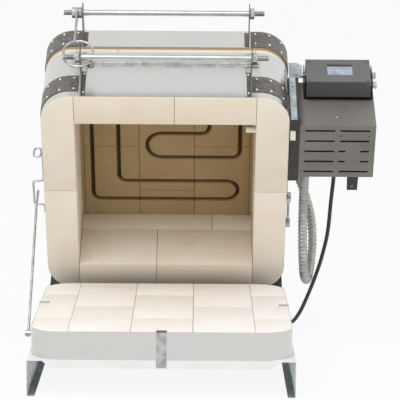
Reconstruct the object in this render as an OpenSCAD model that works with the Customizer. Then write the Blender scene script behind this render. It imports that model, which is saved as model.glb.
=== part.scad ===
// Bead annealing kiln that opens like a clam, shown open.
// Lengths are millimetres. X runs right, Y runs back and Z runs up from the floor.
// The ring, the lid and the controls are drawn closed, then tilted back about the rear hinge.

/* [Brick body] */
// Outside width and depth of the brickwork
body_w = 482.6; // [470:0.1:495]
// Corner radius of the brickwork
corner_r = 57; // [50:1:60]
// Thickness of the ring's brick wall
wall = 63.5; // [60:0.5:68]
// Height of the ring's tall course
course_tall = 114.3; // [110:0.1:118]
// Height of the ring's short course
course_short = 50.8; // [48:0.1:54]
// Thickness of the lid's bricks
lid_t = 63.5; // [60:0.5:68]
// Thickness of the base slab's bricks
slab_t = 50.8; // [48:0.1:54]
// Width of a brick
brick_w = 114.3; // [110:0.1:118]
// Width of the joints between bricks
joint_w = 0.8; // [0.5:0.1:1.2]
// Gap between the base slab and the closed ring
seal_gap = 0.5; // [0.3:0.1:1.5]
// Gap between the ring and the closed lid
lid_gap = 0.5; // [0.3:0.1:1.5]
// Angle to which the ring stands open
open_deg = 60; // [50:1:62]

/* [Sheet metal] */
// Thickness of the ring's jacket
jacket_t = 0.8; // [0.6:0.1:1.2]
// Bare brick below the jacket
lip_low = 2; // [1:0.5:6]
// Bare brick above the jacket
lip_high = 11; // [6:0.5:14]
// Thickness of the lid's cover
cover_t = 1.2; // [0.8:0.1:1.5]
// Bare brick below the lid's cover
lid_lip = 6.5; // [4:0.5:10]
// Thickness of the corner plates
plate_t = 1.5; // [1:0.1:2]
// Distance from the middle to a corner plate's end on the front
plate_x = 168; // [165:1:172]
// Length of a corner plate along the side
plate_side = 75; // [60:1:90]
// Radius of a rivet's head
rivet_r = 2.8; // [2:0.1:3.5]
// Height of a rivet's head
rivet_h = 1.5; // [1:0.1:2]

/* [Base and stand] */
// Height of the stand
stand_h = 68; // [60:1:75]
// Width of the stand
stand_w = 490; // [488:1:500]
// Thickness of the stand's sheet
stand_t = 1.5; // [1.2:0.1:2]
// Height of the stand's lips
stand_lip = 15; // [12:1:20]
// Width of the stand's foot flanges
foot_w = 14; // [10:1:20]
// How much the base slab is smaller than the ring on each side
slab_inset = 1.3; // [0.8:0.1:2]
// Thickness of the sheet under the slab
tray_t = 1.2; // [0.8:0.1:2]
// Thickness of the band round the slab
band_t = 0.8; // [0.6:0.1:1.2]
// Width of the cover on the band's front
front_cover_w = 378; // [360:1:380]
// Width of a hold-down clip
clip_w = 18.5; // [14:0.5:24]
// Thickness of a hold-down clip
clip_t = 1.2; // [1:0.1:1.4]
// Length of a clip's hook on the slab
clip_hook = 18; // [12:1:24]

/* [Hinges] */
// Distance of the rear hinge's axis behind the brickwork
axis_back = 8; // [7.8:0.1:9]
// Radius of a hinge knuckle
knuckle_r = 6; // [5:0.1:6.5]
// Diameter of a hinge pin
pin_d = 6; // [5:0.1:7]
// Running clearance of pins and pivots, on the radius
run_fit = 0.05; // [0.02:0.01:0.08]
// Thickness of the hinge leaves
leaf_t = 2; // [1.5:0.1:2]
// Length of the rear hinge
hinge_len = 480; // [470:1:484]
// Length of each lid hinge
lid_hinge_len = 90; // [80:1:100]
// Distance of the lid hinges from the middle
lid_hinge_x = 150; // [140:1:165]

/* [Handles] */
// Diameter of the handle rods
rod_d = 11; // [10:0.1:12]
// Distance of the handle rods from the jacket
rod_out = 62; // [58:1:66]
// Height of the ring's handle rod above the ring's foot
ring_rod_up = 45; // [44:0.5:47]
// Height of the lid's handle rod above the lid's hot face
lid_rod_up = 34.4; // [30:0.1:38]
// Radius of a bracket's nose
nose_r = 20; // [16:1:22]
// Thickness of the brackets
bracket_t = 1.5; // [1:0.1:2.5]
// Outer face of the left ring bracket, left of the middle
ring_bracket_left = 164.5; // [163:0.5:167]
// Inner face of the right ring bracket, right of the middle
ring_bracket_right = 166; // [164:0.5:170]
// Outer face of the left lid bracket, left of the middle
lid_bracket_left = 166.5; // [165:0.5:168]
// Inner face of the right lid bracket, right of the middle
lid_bracket_right = 163.5; // [162:0.5:166]
// Size of the rod nuts across their flats
nut_af = 19; // [17:0.5:20]
// Thickness of the rod nuts
nut_h = 9; // [7:0.5:10]
// Diameter of the keeper ring's wire
keeper_wire = 4.5; // [3:0.1:5]
// Width of the keeper ring between wire centres
keeper_w = 57; // [50:1:60]
// Height of the keeper ring between wire centres
keeper_h = 72; // [66:1:73]

/* [Props] */
// Diameter of the stored prop bar
bar_d = 11.5; // [9:0.1:11.8]
// Distance of the prop bar from the jacket
bar_out = 40; // [38:0.5:41]
// Height of the prop bar above the ring's foot
bar_up = 53.5; // [52:0.5:56]
// Length of the prop bar from its pivot
bar_len = 325; // [318:1:328]
// Diameter of the prop rod
prop_d = 5; // [4:0.1:6]
// Diameter of the prop loop's wire
loop_d = 4; // [3:0.1:5]
// Height of the prop rod's pivot above the floor
prop_pivot_z = 79; // [78:1:90]

/* [Controls] */
// Width of the control box
box_w = 148; // [140:1:155]
// Depth of the control box from front to back
box_l = 125; // [120:1:135]
// Height of the control box
box_h = 146; // [142:1:150]
// Wall of the control box
box_wall = 1.2; // [0.8:0.1:2]
// Distance from the jacket to the control box
box_out = 20.9; // [18:0.1:24]
// Width of a vent slot
vent_w = 4.2; // [3:0.1:6]
// Pitch of the vent rows
vent_pitch = 24.85; // [22:0.05:26]
// Width of the controller's case
case_w = 127; // [120:1:130]
// Depth of the controller's case
case_d = 39.7; // [34:0.1:42]
// Height of the controller's case
case_h = 76.5; // [70:0.5:78]
// Wall of the controller's case
case_wall = 2; // [1.5:0.1:3]
// Diameter of the controller's two knobs
knob_d = 14; // [12:0.5:16]
// Distance between the two knobs
knob_gap = 32; // [28:0.5:34]
// Diameter of the thermocouple's sheath
probe_d = 11; // [8:0.5:12]
// Reach of the thermocouple into the chamber
probe_in = 20; // [12:1:30]

/* [Heater] */
// Width and depth of the element's groove
groove = 9; // [8:0.5:11]
// Diameter of the coiled element
element_d = 6.5; // [5:0.1:7]

/* [Leads] */
// Outer diameter of the conduit
conduit_d = 19; // [17:0.5:21]
// Bore of the conduit
conduit_bore = 14; // [11:0.5:14.5]
// Pitch of the conduit's ribs
rib_pitch = 8; // [7:0.5:10]
// Diameter of the power cord
cord_d = 8; // [7:0.1:8.1]
// Radius of the coil's outer turn, to the cord's middle
coil_r = 52.9; // [50:0.1:54]
// Step from turn to turn of the coil
coil_step = 8.6; // [8.5:0.1:9.5]

/* [Hidden] */
$fn = 48;

// Brickwork and sheet faces
half = body_w / 2;
chamber = body_w - 2 * wall;
ring_h = course_tall + course_short;
out = half + jacket_t;
lid_out = half + cover_t;
slab_half = half - slab_inset;
tray_half = slab_half + band_t;
slab_top = stand_h + tray_t + slab_t;
foot = slab_top + seal_gap;
lid_foot = foot + ring_h + lid_gap;
lid_top = lid_foot + lid_t;
jacket_lo = foot + lip_low;
jacket_hi = foot + ring_h - lip_high;
cover_lo = lid_foot + lid_lip;

// Hinge axes
axis_y = half + axis_back;
axis_z = stand_h;
lid_axis_z = lid_foot - lid_gap / 2;
knuckle_count = 9;
knuckle_gap = 0.4;

// Stand
stand_half = stand_w / 2;
stand_rear = axis_y - 6.8;
screw_head_r = 4;
screw_head_h = 2;

// Handles and latch
rod_r = rod_d / 2;
ring_rod_z = foot + ring_rod_up;
lid_rod_z = lid_foot + lid_rod_up;
latch_t = 2;
latch_x = -lid_bracket_left - nut_h - latch_t - 1;
keeper_x = -169;
keeper_out = 50;
keeper_z = foot + 31.5;
keeper_lean = 8;

// Prop bar pivot, prop loop and prop rod
bar_pivot_x = -ring_bracket_left + 19.5;
bar_y = -out - bar_out;
bar_z = foot + bar_up;
bar_flat_t = 4;
bar_end_r = 6;
bar_screw_r = 2.5;
loop_z = foot + 25;
loop_out = 23;
loop_x = -out - loop_out;
loop_y_front = -18;
loop_y_rear = 42;
prop_x = -out - 14;
prop_y = -62.7;
prop_eye_r = 7;
prop_eye_t = prop_d + 1;
prop_bore_r = 3;

// Control gear, drawn closed
box_x = out + box_out;
box_x_far = box_x + box_w;
box_y = -177;
box_y_far = box_y + box_l;
box_z_top = foot + box_h;
vent_y = box_y + 12.3;
probe_y = -155.7;
probe_z = foot + 14;
case_x = box_x + 13.5;
case_x_far = case_x + case_w;
case_y = box_y - 6;
case_front = case_y - case_d;
case_z = foot + 82.5;
cheek_t = 1.5;
cheek_gap = 2.5;
pivot_y = box_y - 26;
pivot_z = foot + 134;
knob_z = pivot_z - knob_gap;
knob_stud_r = 2.5;
tilt_deg = 15;
connector_x = box_x + 15;
connector_z = foot + 40;
connector_y = box_y_far + 22;
gland_x = box_x + 75;
gland_z = foot + 60;
gland_y = box_y_far + 36;
lid_box_y = -20.7;
lid_box_y_far = 36.3;
lid_box_z = lid_foot + 8.4;
lid_box_z_top = lid_foot + 56.4;
lid_connector_x = lid_out + 29.5;
lid_connector_z = lid_foot + 32.4;
lid_connector_y = lid_box_y_far + 22;

// Middle of the whole outline, which becomes the origin
x_lo = loop_x - loop_d / 2;
x_hi = case_x_far + cheek_gap + cheek_t + 8.5;
y_lo = -stand_half - clip_t - screw_head_h;
y_hi = opened_at([0, lid_out, lid_top + cover_t])[1];
mid_x = (x_lo + x_hi) / 2;
mid_y = (y_lo + y_hi) / 2;

// Colours
brick_white = "#EFE6D6";
brick_lid = "#B59D7A";
steel = "#CDCDCD";
steel_dark = "#4A4846";
zinc = "#A9B4BC";
white_paint = "#ECEAE4";
rod_steel = "#B8B8B6";
box_grey = "#716D69";
case_black = "#4D4D4D";

// Where a point drawn closed stands when the ring is open
function opened_at(p) = let (y = p[1] - axis_y, z = p[2] - axis_z) [
    p[0],
    axis_y + y * cos(open_deg) + z * sin(open_deg),
    axis_z - y * sin(open_deg) + z * cos(open_deg)
];

// Curves through points, their lengths and even steps along them
function unit(v) = v / norm(v);
function spline_at(a, b, c, d, t) =
    0.5 * (2 * b + (c - a) * t + (2 * a - 5 * b + 4 * c - d) * t * t
    + (3 * b - a - 3 * c + d) * t * t * t);
function spline(p, n = 16) = concat([
    for (i = [0:len(p) - 2], k = [0:n - 1])
        spline_at(
            i == 0 ? 2 * p[0] - p[1] : p[i - 1], p[i], p[i + 1],
            i + 2 < len(p) ? p[i + 2] : 2 * p[i + 1] - p[i], k / n
        )
], [p[len(p) - 1]]);
function travel(c) = [
    for (i = 0, s = 0; i < len(c); s = s + (i + 1 < len(c) ? norm(c[i + 1] - c[i]) : 0), i = i + 1) s
];
function even(c, step) = let (
    s = travel(c),
    total = s[len(s) - 1],
    n = max(2, round(total / step)),
    at = [for (axis = [0:2]) [for (i = [0:len(c) - 1]) [s[i], c[i][axis]]]]
) [for (k = [0:n]) [for (axis = [0:2]) lookup(k * total / n, at[axis])]];
function headings(c) = [
    for (i = [0:len(c) - 1]) unit(c[min(i + 1, len(c) - 1)] - c[max(i - 1, 0)])
];
function upright(t) = abs(t[2]) < 0.9 ? unit([0, 0, 1] - t[2] * t) : unit([1, 0, 0] - t[0] * t);
function sides_of(t) = [
    for (i = 0, u = upright(t[0]); i < len(t); i = i + 1,
        u = i < len(t) ? unit(u - (u * t[i]) * t[i]) : u) u
];
function rings(c, radii, sides) = let (t = headings(c), u = sides_of(t)) [
    for (i = [0:len(c) - 1], j = [0:sides - 1])
        c[i] + radii[i] * (cos(360 * j / sides) * u[i] + sin(360 * j / sides) * cross(t[i], u[i]))
];
function skin(count, sides, first, outward) = [
    for (i = [0:count - 2], j = [0:sides - 1], k = [0, 1]) let (
        a = first + i * sides + j,
        b = first + i * sides + (j + 1) % sides,
        tri = k == 0 ? [a, a + sides, b + sides] : [a, b + sides, b]
    ) outward ? tri : [tri[2], tri[1], tri[0]]
];

// A solid tube swept along points
module tube(c, r, sides) {
    last = (len(c) - 1) * sides;
    polyhedron(
        points = rings(c, [for (p = c) r], sides),
        faces = concat(
            skin(len(c), sides, 0, true),
            [for (j = [1:sides - 2]) [0, j, j + 1]],
            [for (j = [1:sides - 2]) [last, last + j + 1, last + j]]
        )
    );
}

// A tube with a bore and its own radius at each ring
module hose(c, radii, bore_r, sides) {
    n = len(c);
    inner = n * sides;
    end = (n - 1) * sides;
    polyhedron(
        points = concat(rings(c, radii, sides), rings(c, [for (p = c) bore_r], sides)),
        faces = concat(
            skin(n, sides, 0, true),
            skin(n, sides, inner, false),
            [for (j = [0:sides - 1]) [j, (j + 1) % sides, inner + (j + 1) % sides]],
            [for (j = [0:sides - 1]) [j, inner + (j + 1) % sides, inner + j]],
            [for (j = [0:sides - 1]) [end + j, inner + end + (j + 1) % sides, end + (j + 1) % sides]],
            [for (j = [0:sides - 1]) [end + j, inner + end + j, inner + end + (j + 1) % sides]]
        )
    );
}

// Places
module kiln() translate([-mid_x, -mid_y, 0]) children();
module opened() kiln() translate([0, axis_y, axis_z]) rotate([-open_deg, 0, 0])
    translate([0, -axis_y, -axis_z]) children();

// Basic shapes given by their ends
module block(x0, x1, y0, y1, z0, z1) translate([x0, y0, z0]) cube([x1 - x0, y1 - y0, z1 - z0]);
module rod_x(x0, x1, y, z, r) translate([x0, y, z]) rotate([0, 90, 0]) cylinder(h = x1 - x0, r = r);
module rod_y(y0, y1, x, z, r) translate([x, y0, z]) rotate([-90, 0, 0]) cylinder(h = y1 - y0, r = r);
module rod_z(z0, z1, x, y, r) translate([x, y, z0]) cylinder(h = z1 - z0, r = r);
module hex_x(x0, x1, y, z, af)
    translate([x0, y, z]) rotate([0, 90, 0]) cylinder(h = x1 - x0, r = af / 2 / cos(30), $fn = 6);
module straight(a, b) {
    v = b - a;
    translate([a[0], a[1], 0]) rotate([90, 0, atan2(v[1], v[0]) + 90]) linear_extrude(norm(v)) children();
}
module turn(c, r, from, sweep)
    translate([c[0], c[1], 0]) rotate([0, 0, from]) rotate_extrude(angle = sweep)
        translate([r, 0]) children();

// Wire of radius r along points of the XY plane, with round bends
function heading(a, b) = atan2(b[1] - a[1], b[0] - a[0]);
function wrap(a) = a > 180 ? a - 360 : a < -180 ? a + 360 : a;
module bent_wire(points, bend, r) {
    last = len(points) - 1;
    angle = [for (i = [0:last]) i == 0 || i == last ? 0
        : wrap(heading(points[i], points[i + 1]) - heading(points[i - 1], points[i]))];
    trim = [for (a = angle) bend * tan(abs(a) / 2)];
    for (i = [0:last - 1]) {
        way = (points[i + 1] - points[i]) / norm(points[i + 1] - points[i]);
        straight(points[i] + trim[i] * way, points[i + 1] - trim[i + 1] * way) circle(r);
    }
    for (i = [1:last - 1]) {
        h = heading(points[i - 1], points[i]);
        left = angle[i] > 0 ? 1 : -1;
        start = points[i] - trim[i] * [cos(h), sin(h)];
        centre = start + left * bend * [-sin(h), cos(h)];
        turn(centre, bend, left > 0 ? h - 90 : h + angle[i] + 90, abs(angle[i])) circle(r);
    }
}

// Rounded square outline of the brickwork, and sheet bent round it
module outline(h, r) {
    square([2 * (h - r), 2 * h], center = true);
    square([2 * h, 2 * (h - r)], center = true);
    for (sx = [-1, 1], sy = [-1, 1]) translate([sx * (h - r), sy * (h - r)]) circle(r);
}
module sheet_round(h, r, t, z0, z1) translate([0, 0, z0]) linear_extrude(z1 - z0) difference() {
    outline(h + t, r + t);
    outline(h, r);
}

// Plate in an upright plane across X, with its outline given outward from a face and up
module side_plate(x, t, face = out)
    translate([x + t, -face, 0]) rotate([90, 0, -90]) linear_extrude(t) children();

// Rivets through the sheet and corner plates, at the flat and round the corner
rivet_x = 177;
rivet_shank = 1.6;
rivet_angles = [21, 50];
module rivet(through, head) rotate([90, 0, 0]) {
    cylinder(h = head ? through : through + rivet_h, r = rivet_shank);
    if (head) translate([0, 0, through]) cylinder(h = rivet_h, r = rivet_r);
}
module corner_rivets(sheet, rows, head) for (sx = [-1, 1], z = rows) {
    translate([sx * rivet_x, -half, z]) rivet(sheet + plate_t, head);
    for (a = rivet_angles) translate([sx * (half - corner_r), corner_r - half, z])
        rotate([0, 0, sx * a]) translate([0, -corner_r, 0]) rivet(sheet + plate_t, head);
}
module corner_plates(sheet, z0, z1) translate([0, 0, z0]) linear_extrude(z1 - z0) intersection() {
    difference() {
        outline(half + sheet + plate_t, corner_r + sheet + plate_t);
        outline(half + sheet, corner_r + sheet);
    }
    for (sx = [-1, 1]) translate([sx > 0 ? plate_x : -plate_x - 100, -half - 20])
        square([100, plate_side + 20]);
}
ring_plate_lo = foot + 20;
ring_plate_hi = foot + 70;
ring_rivet_rows = [foot + 27, foot + 62];
lid_rivet_rows = [lid_foot + 19.5, lid_foot + 52.5];
flange_w = 8;
flange_rivet_rows = [foot + 15, foot + 76];
flange_x = [-ring_bracket_left + bracket_t + flange_w / 2, ring_bracket_right - flange_w / 2];

// Bricks cut out of a slab by joints
module slab_joints(h) {
    for (k = [-1.5:1:1.5]) translate([k * brick_w - joint_w / 2, -h - 1])
        square([joint_w, 2 * h + 2]);
    for (col = [-2:2]) translate([(col - 0.5) * brick_w, 0])
        for (y = col % 2 == 0 ? [-brick_w, brick_w] : [0])
            translate([0, y - joint_w / 2]) square([brick_w, joint_w]);
}
module brick_slab(h, r, z0, z1) translate([0, 0, z0]) linear_extrude(z1 - z0) difference() {
    outline(h, r);
    slab_joints(h);
}

// One course of the ring, with its joints in the front, rear and side walls
module ring_course(z0, z1, front, rear, side) translate([0, 0, z0]) linear_extrude(z1 - z0)
    difference() {
        outline(half, corner_r);
        square(chamber, center = true);
        for (x = concat(front, [-chamber / 2 + joint_w / 2, chamber / 2 - joint_w / 2]))
            translate([x - joint_w / 2, -half - 1]) square([joint_w, wall + 1.5]);
        for (x = concat(rear, [-chamber / 2 + joint_w / 2, chamber / 2 - joint_w / 2]))
            translate([x - joint_w / 2, chamber / 2 - 0.5]) square([joint_w, wall + 1.5]);
        for (sx = [-1, 1]) translate([sx * (half - wall / 2), side])
            square([wall + 2, joint_w], center = true);
    }

// Stand
module stand_top() kiln() color(white_paint) {
    block(-stand_half, stand_half, -stand_half, stand_rear, stand_h - stand_t, stand_h);
    for (y = [-stand_half, stand_rear - stand_t])
        translate([0, y + stand_t, 0]) rotate([90, 0, 0]) linear_extrude(stand_t) polygon([
            [-217, stand_h - stand_t], [217, stand_h - stand_t],
            [202, stand_h - stand_lip], [-202, stand_h - stand_lip]
        ]);
    for (sx = [-1, 1]) difference() {
        block(
            sx > 0 ? stand_half - 2 * stand_t : -stand_half + stand_t,
            sx > 0 ? stand_half - stand_t : -stand_half + 2 * stand_t,
            -205, 205, stand_h - stand_lip, stand_h - stand_t
        );
        stand_screw_holes();
    }
}
stand_screw_z = stand_h - 8;
stand_screw_y = [-170, 0, 170];
module stand_screw_holes() for (y = stand_screw_y)
    rod_x(-stand_half - 1, stand_half + 1, y, stand_screw_z, 2);
module stand_side(sx, slot_y, slot_z) color(zinc) difference() {
    union() {
        block(
            sx > 0 ? stand_half - stand_t : -stand_half,
            sx > 0 ? stand_half : -stand_half + stand_t,
            -stand_half, stand_rear - stand_t, 0, stand_h - stand_t
        );
        block(
            sx > 0 ? stand_half - foot_w : -stand_half,
            sx > 0 ? stand_half : -stand_half + foot_w,
            -stand_half + 2, stand_rear - 2 * stand_t, 0, stand_t
        );
    }
    stand_screw_holes();
    block(sx * stand_half - 5, sx * stand_half + 5, slot_y - 14, slot_y + 14, slot_z, slot_z + 5);
}
module stand_side_left() kiln() stand_side(-1, -193, 28);
module stand_side_right() kiln() stand_side(1, -133, 10);
module stand_screws() kiln() color(rod_steel) for (sx = [-1, 1], y = stand_screw_y) {
    rod_x(
        sx > 0 ? stand_half - 2 * stand_t - 3 : -stand_half,
        sx > 0 ? stand_half : -stand_half + 2 * stand_t + 3, y, stand_screw_z, 2
    );
    rod_x(
        sx > 0 ? stand_half : -stand_half - screw_head_h,
        sx > 0 ? stand_half + screw_head_h : -stand_half, y, stand_screw_z, screw_head_r
    );
}

// Base slab in its tray, with the cover on the band's front
clip_recess = 1.4;
side_clip_y = [38, 21];
module clip_places() {
    children();
    translate([0, side_clip_y[0], 0]) rotate([0, 0, -90]) children();
    translate([0, side_clip_y[1], 0]) rotate([0, 0, 90]) children();
}
module base_slab() kiln() color(brick_white) difference() {
    brick_slab(slab_half, corner_r - slab_inset, stand_h + tray_t, slab_top);
    clip_places() block(
        -clip_w / 2 - 1, clip_w / 2 + 1, -half - 5, -tray_half + clip_hook + 1,
        slab_top - clip_recess, slab_top + 1
    );
}
module base_tray() kiln() color(steel) difference() {
    union() {
        translate([0, 0, stand_h]) linear_extrude(tray_t)
            outline(slab_half, corner_r - slab_inset);
        sheet_round(slab_half, corner_r - slab_inset, band_t, stand_h, slab_top);
    }
    clip_places() block(
        -clip_w / 2 - 1, clip_w / 2 + 1, -half - 5, -slab_half + 3, slab_top - clip_recess, slab_top + 1
    );
}
module base_front_cover() kiln() color(steel) difference() {
    block(-front_cover_w / 2, front_cover_w / 2, -tray_half - band_t, -tray_half, stand_h, slab_top);
    block(-clip_w / 2 - 1, clip_w / 2 + 1, -half - 5, -slab_half, slab_top - clip_recess, slab_top + 1);
}

// Clips that hook over the slab and are screwed to the stand
module clip(face) {
    hook_z = slab_top - clip_recess;
    in_y = -face;
    out_y = -stand_half;
    color(zinc) translate([-clip_w / 2, 0, 0]) rotate([90, 0, 90]) linear_extrude(clip_w) polygon([
        [-tray_half + clip_hook, hook_z], [-tray_half + clip_hook, hook_z + clip_t],
        [in_y - clip_t, hook_z + clip_t], [in_y - clip_t, stand_h + clip_t],
        [out_y - clip_t, stand_h + clip_t], [out_y - clip_t, stand_h - 13],
        [out_y, stand_h - 13], [out_y, stand_h], [in_y, stand_h], [in_y, hook_z]
    ]);
    color(rod_steel) translate([0, out_y - clip_t, stand_h - 7]) rotate([90, 0, 0])
        cylinder(h = screw_head_h, r = screw_head_r);
}
module hold_down_clips() kiln() {
    clip(tray_half + band_t);
    translate([0, side_clip_y[0], 0]) rotate([0, 0, -90]) clip(tray_half);
    translate([0, side_clip_y[1], 0]) rotate([0, 0, 90]) clip(tray_half);
}

// Rear hinge, with every other knuckle on the stand's leaf
knuckle_w = hinge_len / knuckle_count;
module knuckles(first, y0, y1, z0, z1, length, count, at_y, at_z) {
    w = length / count;
    for (k = [first:2:count - 1]) {
        x0 = -length / 2 + k * w + knuckle_gap / 2;
        x1 = -length / 2 + (k + 1) * w - knuckle_gap / 2;
        rod_x(x0, x1, at_y, at_z, knuckle_r);
        block(x0, x1, y0, y1, z0, z1);
    }
}
module hinge_stand_leaf() kiln() color(steel_dark) difference() {
    union() {
        knuckles(
            0, stand_rear, stand_rear + leaf_t, stand_h - stand_lip, axis_z,
            hinge_len, knuckle_count, axis_y, axis_z
        );
        block(
            -hinge_len / 2 + 20, hinge_len / 2 - 20, stand_rear, stand_rear + leaf_t,
            stand_h - stand_lip, axis_z - knuckle_r - 1
        );
    }
    rod_x(-hinge_len, hinge_len, axis_y, axis_z, pin_d / 2);
}
module hinge_ring_leaf() opened() color(steel_dark) difference() {
    union() {
        knuckles(
            1, out, out + leaf_t, axis_z + 0.5, axis_z + knuckle_r + 2,
            hinge_len, knuckle_count, axis_y, axis_z
        );
        block(
            -hinge_len / 2, hinge_len / 2, out, out + leaf_t,
            axis_z + knuckle_r + 1, foot + 60
        );
    }
    rod_x(-hinge_len, hinge_len, axis_y, axis_z, pin_d / 2 + run_fit);
}
module hinge_pin() kiln() color(rod_steel) {
    rod_x(-hinge_len / 2, hinge_len / 2, axis_y, axis_z, pin_d / 2);
    for (sx = [-1, 1]) rod_x(
        sx > 0 ? hinge_len / 2 : -hinge_len / 2 - 2,
        sx > 0 ? hinge_len / 2 + 2 : -hinge_len / 2, axis_y, axis_z, pin_d / 2 + 2
    );
}

// Pivot of the prop rod on the band's left side
prop_stud_end = prop_x - prop_eye_t / 2 - 3.5;
module prop_pivot() kiln() color(rod_steel) {
    block(-tray_half - 2, -tray_half, prop_y - 15, prop_y + 15, stand_h + 1, slab_top - 20);
    rod_x(prop_x + prop_eye_t / 2 + 0.3, -tray_half - 2, prop_y, prop_pivot_z, 5);
    rod_x(prop_stud_end, -tray_half - 2, prop_y, prop_pivot_z, prop_bore_r);
    rod_x(prop_stud_end, prop_x - prop_eye_t / 2 - 0.3, prop_y, prop_pivot_z, 5);
}

// Prop rod, bent at its tip, which stands in the wire loop
loop_middle = [prop_x, (loop_y_front + loop_y_rear) / 2 - 6, loop_z - 2];
prop_tip = opened_at(loop_middle);
prop_foot = [prop_y, prop_pivot_z];
prop_top = [prop_tip[1], prop_tip[2]];
prop_bend = prop_top - [48, 23.5];
prop_up = unit(prop_bend - prop_foot);
prop_over = unit(prop_top - prop_bend);
mitre = 0.8;
module prop_rod() kiln() color(rod_steel) difference() {
    union() {
        translate([prop_x, 0, 0]) rotate([90, 0, 90]) {
            straight(prop_foot + (prop_eye_r - 2) * prop_up, prop_bend + mitre * prop_up)
                circle(d = prop_d);
            straight(prop_bend - mitre * prop_over, prop_top) circle(d = prop_d);
        }
        rod_x(prop_x - prop_eye_t / 2, prop_x + prop_eye_t / 2, prop_y, prop_pivot_z, prop_eye_r);
    }
    rod_x(prop_x - 10, prop_x + 10, prop_y, prop_pivot_z, prop_bore_r + run_fit);
}

// Wire on the ring's left side, bent out as a staple and ending in an eye
eye_y = -88.7;
eye_half = 7;
eye_rise = 14;
module prop_loop() opened() color(rod_steel) {
    near = -out - loop_d / 2;
    eye_x = near - eye_half - 2.5;
    translate([0, 0, loop_z]) bent_wire([
        [near, loop_y_rear + 18], [near, loop_y_rear], [loop_x, loop_y_rear],
        [loop_x, loop_y_front], [near, loop_y_front], [near, eye_y]
    ], 6, loop_d / 2);
    translate([eye_x, eye_y, loop_z]) rotate([90, 0, 0]) {
        for (half_turn = [0, 180]) rotate([0, 0, half_turn])
            translate([0, eye_rise - eye_half, 0]) turn([0, 0], eye_half, 0, 180) circle(d = loop_d);
        for (sx = [-1, 1]) translate([sx * eye_half, eye_half - eye_rise, 0]) rotate([-90, 0, 0])
            cylinder(h = 2 * (eye_rise - eye_half), d = loop_d);
    }
}

// Ring
module ring_bricks() opened() color(brick_white) difference() {
    union() {
        ring_course(foot, foot + course_tall - joint_w / 2, [18], [-19], -12);
        ring_course(foot + course_tall + joint_w / 2, foot + ring_h, [-96], [95], 102);
    }
    rod_x(0, half + 10, probe_y, probe_z, probe_d / 2);
}
module ring_jacket() opened() color(steel) difference() {
    sheet_round(half, corner_r, jacket_t, jacket_lo, jacket_hi);
    rod_x(0, half + 10, probe_y, probe_z, probe_d / 2);
    corner_rivets(jacket_t, ring_rivet_rows, false);
    flange_rivets(false);
}
module ring_corner_plates() opened() color(steel_dark) difference() {
    corner_plates(jacket_t, ring_plate_lo, ring_plate_hi);
    block(out - 1, out + 9, standoff_y - 0.5, 0, foot, foot + 140);
    corner_rivets(jacket_t, ring_rivet_rows, false);
}
module flange_rivets(head) for (x = flange_x, z = flange_rivet_rows)
    translate([x, -half, z]) rivet(jacket_t + bracket_t, head);
module ring_rivets() opened() color(rod_steel) {
    corner_rivets(jacket_t, ring_rivet_rows, true);
    flange_rivets(true);
}

// Handle brackets, plain on the left and notched for the prop bar on the right
module ring_bracket_outline(notched) difference() {
    union() {
        polygon([
            [0, foot + 2], [0, foot + 88], [rod_out, ring_rod_z + nose_r],
            [rod_out, ring_rod_z - 10], [30, ring_rod_z - 10]
        ]);
        translate([rod_out, ring_rod_z]) circle(nose_r);
    }
    translate([30, foot]) square([rod_out + nose_r, ring_rod_up - 10]);
    translate([rod_out, ring_rod_z]) circle(rod_r);
    if (notched) translate([bar_out, bar_z]) circle(bar_d / 2 + 0.5);
    if (notched) translate([bar_out - bar_d / 2 - 0.5, bar_z]) square([bar_d + 1, 60]);
}
module ring_brackets() opened() color(steel_dark) {
    side_plate(-ring_bracket_left, bracket_t) ring_bracket_outline(false);
    side_plate(ring_bracket_right, bracket_t) ring_bracket_outline(true);
    difference() {
        for (x = flange_x) block(
            x - flange_w / 2, x + flange_w / 2, -out - bracket_t, -out, foot + 6, foot + 84
        );
        flange_rivets(false);
    }
}
module ring_handle_rod() opened() color(rod_steel)
    rod_x(-197.5, 199.7, -out - rod_out, ring_rod_z, rod_r);
module nut(x, y, z) difference() {
    hex_x(x, x + nut_h, y, z, nut_af);
    rod_x(x - 1, x + nut_h + 1, y, z, rod_r);
}
module ring_handle_nuts() opened() color(rod_steel) {
    nut(-ring_bracket_left - nut_h, -out - rod_out, ring_rod_z);
    nut(ring_bracket_right + bracket_t, -out - rod_out, ring_rod_z);
}

// Prop bar held by a screw in a lug on the left bracket
lug_t = 1.5;
module prop_bar_lug() opened() color(rod_steel) {
    plate_y = bar_y + bar_flat_t / 2 + 0.3;
    block(
        -ring_bracket_left + bracket_t, bar_pivot_x + 7, plate_y, plate_y + lug_t,
        bar_z - 8, bar_z + 8
    );
    rod_y(bar_y - bar_flat_t / 2 - 3, plate_y, bar_pivot_x, bar_z, bar_screw_r);
    rod_y(bar_y - bar_flat_t / 2 - 3, bar_y - bar_flat_t / 2 - 0.3, bar_pivot_x, bar_z, 4.5);
    rod_y(plate_y + lug_t, plate_y + lug_t + 4, bar_pivot_x, bar_z, 4.5);
}
module prop_bar() opened() color(rod_steel) difference() {
    union() {
        rod_x(bar_pivot_x + 2 * bar_end_r + 1, bar_pivot_x + bar_len, bar_y, bar_z, bar_d / 2);
        rod_y(bar_y - bar_flat_t / 2, bar_y + bar_flat_t / 2, bar_pivot_x, bar_z, bar_end_r);
        block(
            bar_pivot_x, bar_pivot_x + 2 * bar_end_r + 2, bar_y - bar_flat_t / 2,
            bar_y + bar_flat_t / 2, bar_z - bar_end_r + 0.5, bar_z + bar_end_r - 0.5
        );
    }
    rod_y(bar_y - 10, bar_y + 10, bar_pivot_x, bar_z, bar_screw_r + run_fit);
}

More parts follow.
